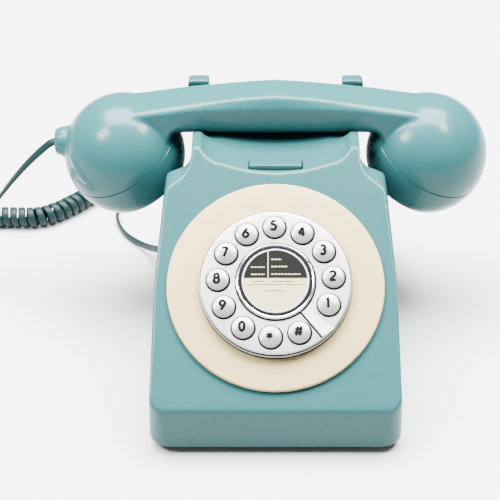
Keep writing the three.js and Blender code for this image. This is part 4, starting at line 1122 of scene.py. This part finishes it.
class TELEPHONE_OT_centre(bpy.types.Operator):
    """Makes the bezel, the black ring and the redial key with its printed card"""

    bl_idname = "telephone.centre"
    bl_label = "Redial key"

    def execute(self, context):
        low = PLATE_RISE + GAP
        bezel = turned("bezel", fillet([
            (BEZEL_RADIUS - 1.5, low), (BEZEL_RADIUS, low), (BEZEL_RADIUS, low + 0.7),
            (BEZEL_RADIUS - 0.3, low + 0.8), (BEZEL_RADIUS - 0.3, low + 1.2),
            (BEZEL_RADIUS - 0.7, low + 1.7), (BEZEL_RADIUS - 1.5, low + 1.3),
        ], [0.1, 0.2, 0.2, 0.08, 0.1, 0.3, 0.25], 4), 128)
        settle(place(bezel, DIAL_FRAME), "chrome_bezel", finish("chrome_trim"), "housing",
               ["centre_bezel"], sharp=50)
        ring = turned("ring", fillet([
            (REDIAL_RADIUS + 0.08, low), (BEZEL_RADIUS - 1.55, low),
            (BEZEL_RADIUS - 1.55, low + 1.4),
            (REDIAL_RADIUS + 0.08, low + 1.4)], 0.08, 2), 128)
        settle(place(ring, DIAL_FRAME), "black_ring", finish("black_trim"), "housing",
               ["centre_ring"])

        top = PLATE_RISE + 1.65
        key = turned("key", [(0, KEY_FOOT)] + fillet([
            (REDIAL_RADIUS - 2, KEY_FOOT), (REDIAL_RADIUS, KEY_FOOT), (REDIAL_RADIUS, top + 0.2),
            (REDIAL_RADIUS - 0.7, top + 0.2), (REDIAL_RADIUS - 0.7, top)],
            [0, 0.1, 0.25, 0.2, 0.05], 4, closed=False) + [(0, top)], 128)
        settle(place(key, DIAL_FRAME), "redial_button", finish("silver_plate"), "redial",
               ["redial_key"], sharp=50)

        edge = REDIAL_RADIUS - 0.85
        split, line = 1.4, -2.1
        divide = -3.9
        upper_angle = math.asin(split / edge)
        lower = arc_points(0, 0, edge, math.pi - upper_angle, 2 * math.pi + upper_angle, 72)
        light = card_piece(lower, top - 0.3, top + 0.06)
        settle(place(light, DIAL_FRAME), "card_lower", finish("card_light"), "redial")
        height_at_divide = math.sqrt(edge ** 2 - (divide - 0.25) ** 2)
        left_end = math.atan2(height_at_divide, divide - 0.25)
        left = (arc_points(0, 0, edge, left_end, math.pi - upper_angle, 30)
                + [(divide - 0.25, split)])
        right_end = math.atan2(math.sqrt(edge ** 2 - (divide + 0.25) ** 2), divide + 0.25)
        right = arc_points(0, 0, edge, upper_angle, right_end, 48) + [(divide + 0.25, split)]
        for name, outline in (("left", left), ("right", right)):
            dark = card_piece(outline, top - 0.3, top + 0.06)
            settle(place(dark, DIAL_FRAME), f"card_upper_{name}", finish("card_dark"), "redial")
        strips = [(divide - 0.17, divide + 0.17, split, height_at_divide - 0.3, "card_light"),
                  (-14.6, 15.6, line - 0.16, line + 0.16, "card_dark"),
                  (divide - 0.17, divide + 0.17, line, split, "card_dark")]
        # rows of plain dashes where a card would carry words
        for row, start, end, shade in DASH_ROWS:
            x = start
            while x < end:
                strips.append((x, min(x + DASH, end), row - DASH_HALF_HEIGHT,
                               row + DASH_HALF_HEIGHT, shade))
                x += DASH + DASH_GAP
        for shade in ("card_light", "card_dark"):
            verts, faces = [], []
            for x0, x1, y0, y1, kind in strips:
                if kind != shade:
                    continue
                base = len(verts)
                for z in (top - 0.2, top + 0.09):
                    verts += [(x0, y0, z), (x1, y0, z), (x1, y1, z), (x0, y1, z)]
                faces += [[base + i for i in f] for f in (
                    (3, 2, 1, 0), (4, 5, 6, 7), (0, 1, 5, 4), (1, 2, 6, 5), (2, 3, 7, 6),
                    (3, 0, 4, 7))]
            marks = new_piece("marks", verts, faces)
            settle(place(marks, DIAL_FRAME), f"{shade}_marks", finish(shade), "redial")
        return {"FINISHED"}


# ------------------------------------------------------------------ handset
def handle_ring(x):
    """The handle's cross-section at x: a crowned top, a front that leans out and a round belly."""
    far = abs(x)
    top = HANDLE_TOP - 9.8 * (far / 80) ** 1.4
    crease = 123.1 - 5.2 * smooth_step((far - 36) / 54)
    crease = min(crease, top - 1.5)
    beyond_neck = smooth_step((far - 46) / 20)
    drop = 24 * smooth_step((far - 55) / 12)
    bottom = HANDLE_BOTTOM - drop
    belly = HANDLE_BOTTOM + 4.6 - drop
    half = HANDLE_WIDTH / 2
    shoulder = half - 3.2
    lower = half + 0.9 + 3.4 * beyond_neck
    outline = [(-9, bottom), (9, bottom), (lower, belly), (half, crease), (shoulder, top - 0.6),
               (0, top), (-shoulder, top - 0.6), (-half, crease), (-lower, belly)]
    section = [(x, y, z) for y, z in fillet(outline, [6, 6, 2.5, 1.6, 3, 40, 3, 1.6, 2.5], 6)]
    # the ends of the handle sink into the domes
    sink = smooth_step((far - 78) / 12)
    dome_middle = Vector((math.copysign(DOME_X, x), 0, DOME_Z))
    ring = []
    for point in section:
        arm = Vector(point) - dome_middle
        inside = arm * min(1.0, (DOME_RADIUS - 0.4 - 3.0 * sink) / arm.length) if far > 78 else arm
        ring.append(tuple(Vector((0, HANDSET_Y, 0)) + dome_middle + arm.lerp(inside, sink)))
    return ring


def lozenge_frame():
    """Where the raised lozenge stands on the mouth end's dome, its long side along local X."""
    outward = Vector((-24.1, -23.2, 3.9)).normalized()
    centre = Vector((-DOME_X, HANDSET_Y, DOME_Z)) + outward * (DOME_RADIUS - 0.35)
    long_side = Vector((14.5, 0, -9.2))
    long_side = (long_side - outward * long_side.dot(outward)).normalized()
    across = outward.cross(long_side)
    return Matrix.Translation(centre) @ Matrix((long_side, across, outward)).transposed().to_4x4()


class TELEPHONE_OT_handset(bpy.types.Operator):
    """Makes the handset's one-piece body with its handle, domes and cord boss"""

    bl_idname = "telephone.handset"
    bl_label = "Handset body"

    def execute(self, context):
        sizes = context.scene.telephone_sizes
        reach = DOME_X + 10
        stations = [reach * k / 48 for k in range(-48, 49)]
        handle = loft("handle", [handle_ring(x) for x in stations])
        parts = [place(ball(DOME_RADIUS), dome_frame(side)) for side in (-1, 1)]
        boss = turned("boss", [(0, 0), (GLAND_RADIUS + 0.7, 0), (GLAND_RADIUS + 1.2, 0.6),
                               (BOSS_RADIUS - 0.9, 2.2), (BOSS_RADIUS - 0.1, 4.2),
                               (BOSS_RADIUS + 0.6, BOSS_LENGTH), (0, BOSS_LENGTH)], 64)
        place(boss, Matrix.Translation((BOSS_FACE, HANDSET_Y, BOSS_Z))
              @ Matrix.Rotation(math.pi / 2, 4, "Y"))
        lozenge = place(ball(1.0), lozenge_frame() @ Matrix.Diagonal((9.0, 2.7, 1.3, 1)))
        body = combine(handle, [*parts, boss, lozenge], "UNION")
        body = mould(body, sizes.handset_grain / MM, sizes.handset_rounding)
        cuts = []
        for side in (-1, 1):
            cuts.append(place(ball(DOME_RADIUS - HANDSET_WALL), dome_frame(side)))
            below = combine(ball(DOME_RADIUS + 2 * GAP), [
                block((-60, -60, -90), (60, 60, SEAM_ABOVE_CENTRE))], "INTERSECT")
            cuts.append(place(below, dome_frame(side)))
        bore = rod(GLAND_RADIUS + GAP, -5, BOSS_LENGTH + 6)
        cuts.append(place(bore, Matrix.Translation((BOSS_FACE, HANDSET_Y, BOSS_Z))
                          @ Matrix.Rotation(math.pi / 2, 4, "Y")))
        combine(body, cuts, "DIFFERENCE")
        settle(body, "moulded_handset", finish("handset_teal"), "handset",
               ["handset_body"])

        gland = turned("gland", [(0, -0.2)] + fillet([
            (3.0, -0.2), (3.6, -0.2), (4.6, 1.6), (GLAND_RADIUS, 1.8),
            (GLAND_RADIUS, BOSS_LENGTH + 2)],
            [0, 0.3, 0.6, 0.3, 0.3], 4, closed=False) + [(0, BOSS_LENGTH + 2)], 64)
        combine(gland, [block((-3.4, -4.1, 2.9), (3.4, 4.1, BOSS_LENGTH + 5)), rod(2.35, -5, 5)],
                "DIFFERENCE")
        place(gland, Matrix.Translation((BOSS_FACE, HANDSET_Y, BOSS_Z))
              @ Matrix.Rotation(math.pi / 2, 4, "Y"))
        settle(gland, "cord_bush", finish("handset_teal"), "handset",
               ["cord_gland"])
        return {"FINISHED"}


class TELEPHONE_OT_caps(bpy.types.Operator):
    """Makes the screwed caps over the microphone and the receiver"""

    bl_idname = "telephone.caps"
    bl_label = "Ear and mouth caps"

    def execute(self, context):
        top = SEAM_ABOVE_CENTRE - GAP
        face = top - CAP_HEIGHT
        spigot = math.sqrt(DOME_RADIUS ** 2 - top ** 2) - HANDSET_WALL - 1.1
        for side, name, node in ((-1, "mouth", "mouth_cap"), (1, "ear", "ear_cap")):
            levels = [top - (CAP_HEIGHT - 2.0) * k / 20 for k in range(21)]
            flank = [(math.sqrt(DOME_RADIUS ** 2 - level ** 2), level) for level in levels]
            flank[0] = (flank[0][0] - 0.6, top)
            flank.insert(1, (math.sqrt(DOME_RADIUS ** 2 - (top - 0.45) ** 2), top - 0.45))
            profile = [(0, face), (CAP_FACE_RADIUS - 3.2, face),
                       (CAP_FACE_RADIUS - 1.6, face + 0.15),
                       (CAP_FACE_RADIUS - 0.4, face + 0.6)]
            profile += flank[::-1]
            profile += [(spigot, top), (spigot, top + 3.5), (spigot - 2, top + 3.5),
                        (spigot - 2, top - 11), (CAP_FACE_RADIUS - 2.8, face + 2.2),
                       (0, face + 2.2)]
            cap = turned("cap", profile, 128)
            holes = [rod(1.5, face - 5, face + 5, 20)]
            for ring, count in ((8, 6), (15, 12)):
                for i in range(count):
                    angle = 2 * math.pi * i / count
                    spot = Matrix.Translation((ring * math.cos(angle), ring * math.sin(angle), 0))
                    holes.append(place(rod(1.5, face - 5, face + 5, 20), spot))
            combine(cap, holes, "DIFFERENCE")
            settle(place(cap, dome_frame(side)), f"{name}_piece", finish("handset_teal"), "handset",
                   [node], sharp=35)
        return {"FINISHED"}


# ------------------------------------------------------------------ underside, back and inside
class TELEPHONE_OT_underside(bpy.types.Operator):
    """Makes the rubber feet and finishes the base plate and its screws"""

    bl_idname = "telephone.underside"
    bl_label = "Feet and base plate"

    def execute(self, context):
        for i in range(1, 5):
            low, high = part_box(f"foot_{i}")
            radius = (high[0] - low[0]) / 2 / MM
            tall = (high[2] - low[2]) / MM
            foot = turned("foot", [(0, 0)] + fillet([
                (radius - 3.5, 0), (radius - 3.2, 0.5), (radius - 2.4, 0.5), (radius - 2.1, 0),
                (radius, 0), (radius, tall)], [0, 0.1, 0.1, 0.1, 0.8, 0], 4, closed=False)
                + [(0, tall)], 48)
            centre = (Vector(low) + Vector(high)) / 2 - ORIGIN
            place(foot, Matrix.Translation((centre.x / MM, centre.y / MM, 0)))
            settle(foot, f"rubber_foot_{i}", finish("rubber"), "housing", [f"foot_{i}"])
            dress(f"base_screw_{i}", "steel")
        dress("base_plate", "black_plastic")
        return {"FINISHED"}


class TELEPHONE_OT_back(bpy.types.Operator):
    """Finishes the line socket and makes its contacts and the ringer switch's knob in the rear wall
    """

    bl_idname = "telephone.back"
    bl_label = "Rear sockets"

    def execute(self, context):
        low, high = [Vector(c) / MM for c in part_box("ringer_switch")]
        shift = ORIGIN / MM
        low, high = low - shift, high - shift
        knob = rounded_edges(block(low, high), 0.25)
        middle = (low.x + high.x) / 2
        grooves = [block((middle + k * 0.9 - 0.2, high.y - 0.3, low.z + 0.4),
                         (middle + k * 0.9 + 0.2, high.y + 1, high.z - 0.4)) for k in (-1, 0, 1)]
        combine(knob, grooves, "DIFFERENCE")
        settle(knob, "ringer_knob_ribbed", finish("black_plastic"), "ringer_knob",
               ["ringer_switch"])
        low, high = [Vector(c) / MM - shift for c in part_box("line_socket")]
        contacts = []
        for k in range(4):
            x = LINE_JACK_X + (k - 1.5) * 1.02
            contacts.append(loft("contact", [
                [(x - 0.22, y, z - 0.15), (x + 0.22, y, z - 0.15), (x + 0.22, y, z + 0.15),
                 (x - 0.22, y, z + 0.15)]
                for y, z in ((high.y - 1.0, JACK_Z - 3.1), (high.y - 9.5, JACK_Z + 0.6))]))
        springs = combine(contacts[0], contacts[1:], "UNION")
        settle(springs, "line_contacts", finish("steel"), "housing")
        dress("line_socket", "black_plastic")
        return {"FINISHED"}


INSIDE = {
    "steel": ("ringer_speaker", "ballast_plate", "hook_spring", "ringer_switch_frame",
              "microphone_capsule", "receiver_capsule", "handset_weight"),
    "black_plastic": ("hook_bracket", "hook_microswitch", "handset_socket"),
    "circuit_board": ("main_board",),
}


class TELEPHONE_OT_inside(bpy.types.Operator):
    """Finishes the boards, weights and switches inside"""

    bl_idname = "telephone.inside"
    bl_label = "Inner parts"

    def execute(self, context):
        for name, nodes in INSIDE.items():
            for node in nodes:
                dress(node, name)
        return {"FINISHED"}


# ------------------------------------------------------------------ panel and registration
STEPS = (TELEPHONE_OT_stage, TELEPHONE_OT_cord, TELEPHONE_OT_housing, TELEPHONE_OT_hook,
         TELEPHONE_OT_dial, TELEPHONE_OT_keys, TELEPHONE_OT_centre, TELEPHONE_OT_handset,
         TELEPHONE_OT_caps, TELEPHONE_OT_underside, TELEPHONE_OT_back, TELEPHONE_OT_inside)


class TELEPHONE_PT_panel(bpy.types.Panel):
    """Lists the telephone's pieces, sizes and colours"""

    bl_idname = "TELEPHONE_PT_panel"
    bl_label = "Desk telephone"
    bl_space_type = "VIEW_3D"
    bl_region_type = "UI"
    bl_category = "Telephone"

    def draw(self, context):
        for step in STEPS:
            self.layout.operator(step.bl_idname)
        for group in (context.scene.telephone_sizes, context.scene.telephone_colours):
            box = self.layout.box()
            for key in group.__annotations__:
                box.prop(group, key)


CLASSES = (TelephoneSizes, TelephoneColours, *STEPS, TELEPHONE_PT_panel)


def register():
    for cls in CLASSES:
        bpy.utils.register_class(cls)
    bpy.types.Scene.telephone_sizes = bpy.props.PointerProperty(type=TelephoneSizes)
    bpy.types.Scene.telephone_colours = bpy.props.PointerProperty(type=TelephoneColours)


def unregister():
    del bpy.types.Scene.telephone_colours
    del bpy.types.Scene.telephone_sizes
    for cls in reversed(CLASSES):
        bpy.utils.unregister_class(cls)


def main():
    register()
    make_finishes(bpy.context.scene.telephone_colours)
    for step in STEPS:
        group, name = step.bl_idname.split(".")
        getattr(getattr(bpy.ops, group), name)()


if __name__ == "__main__":
    main()
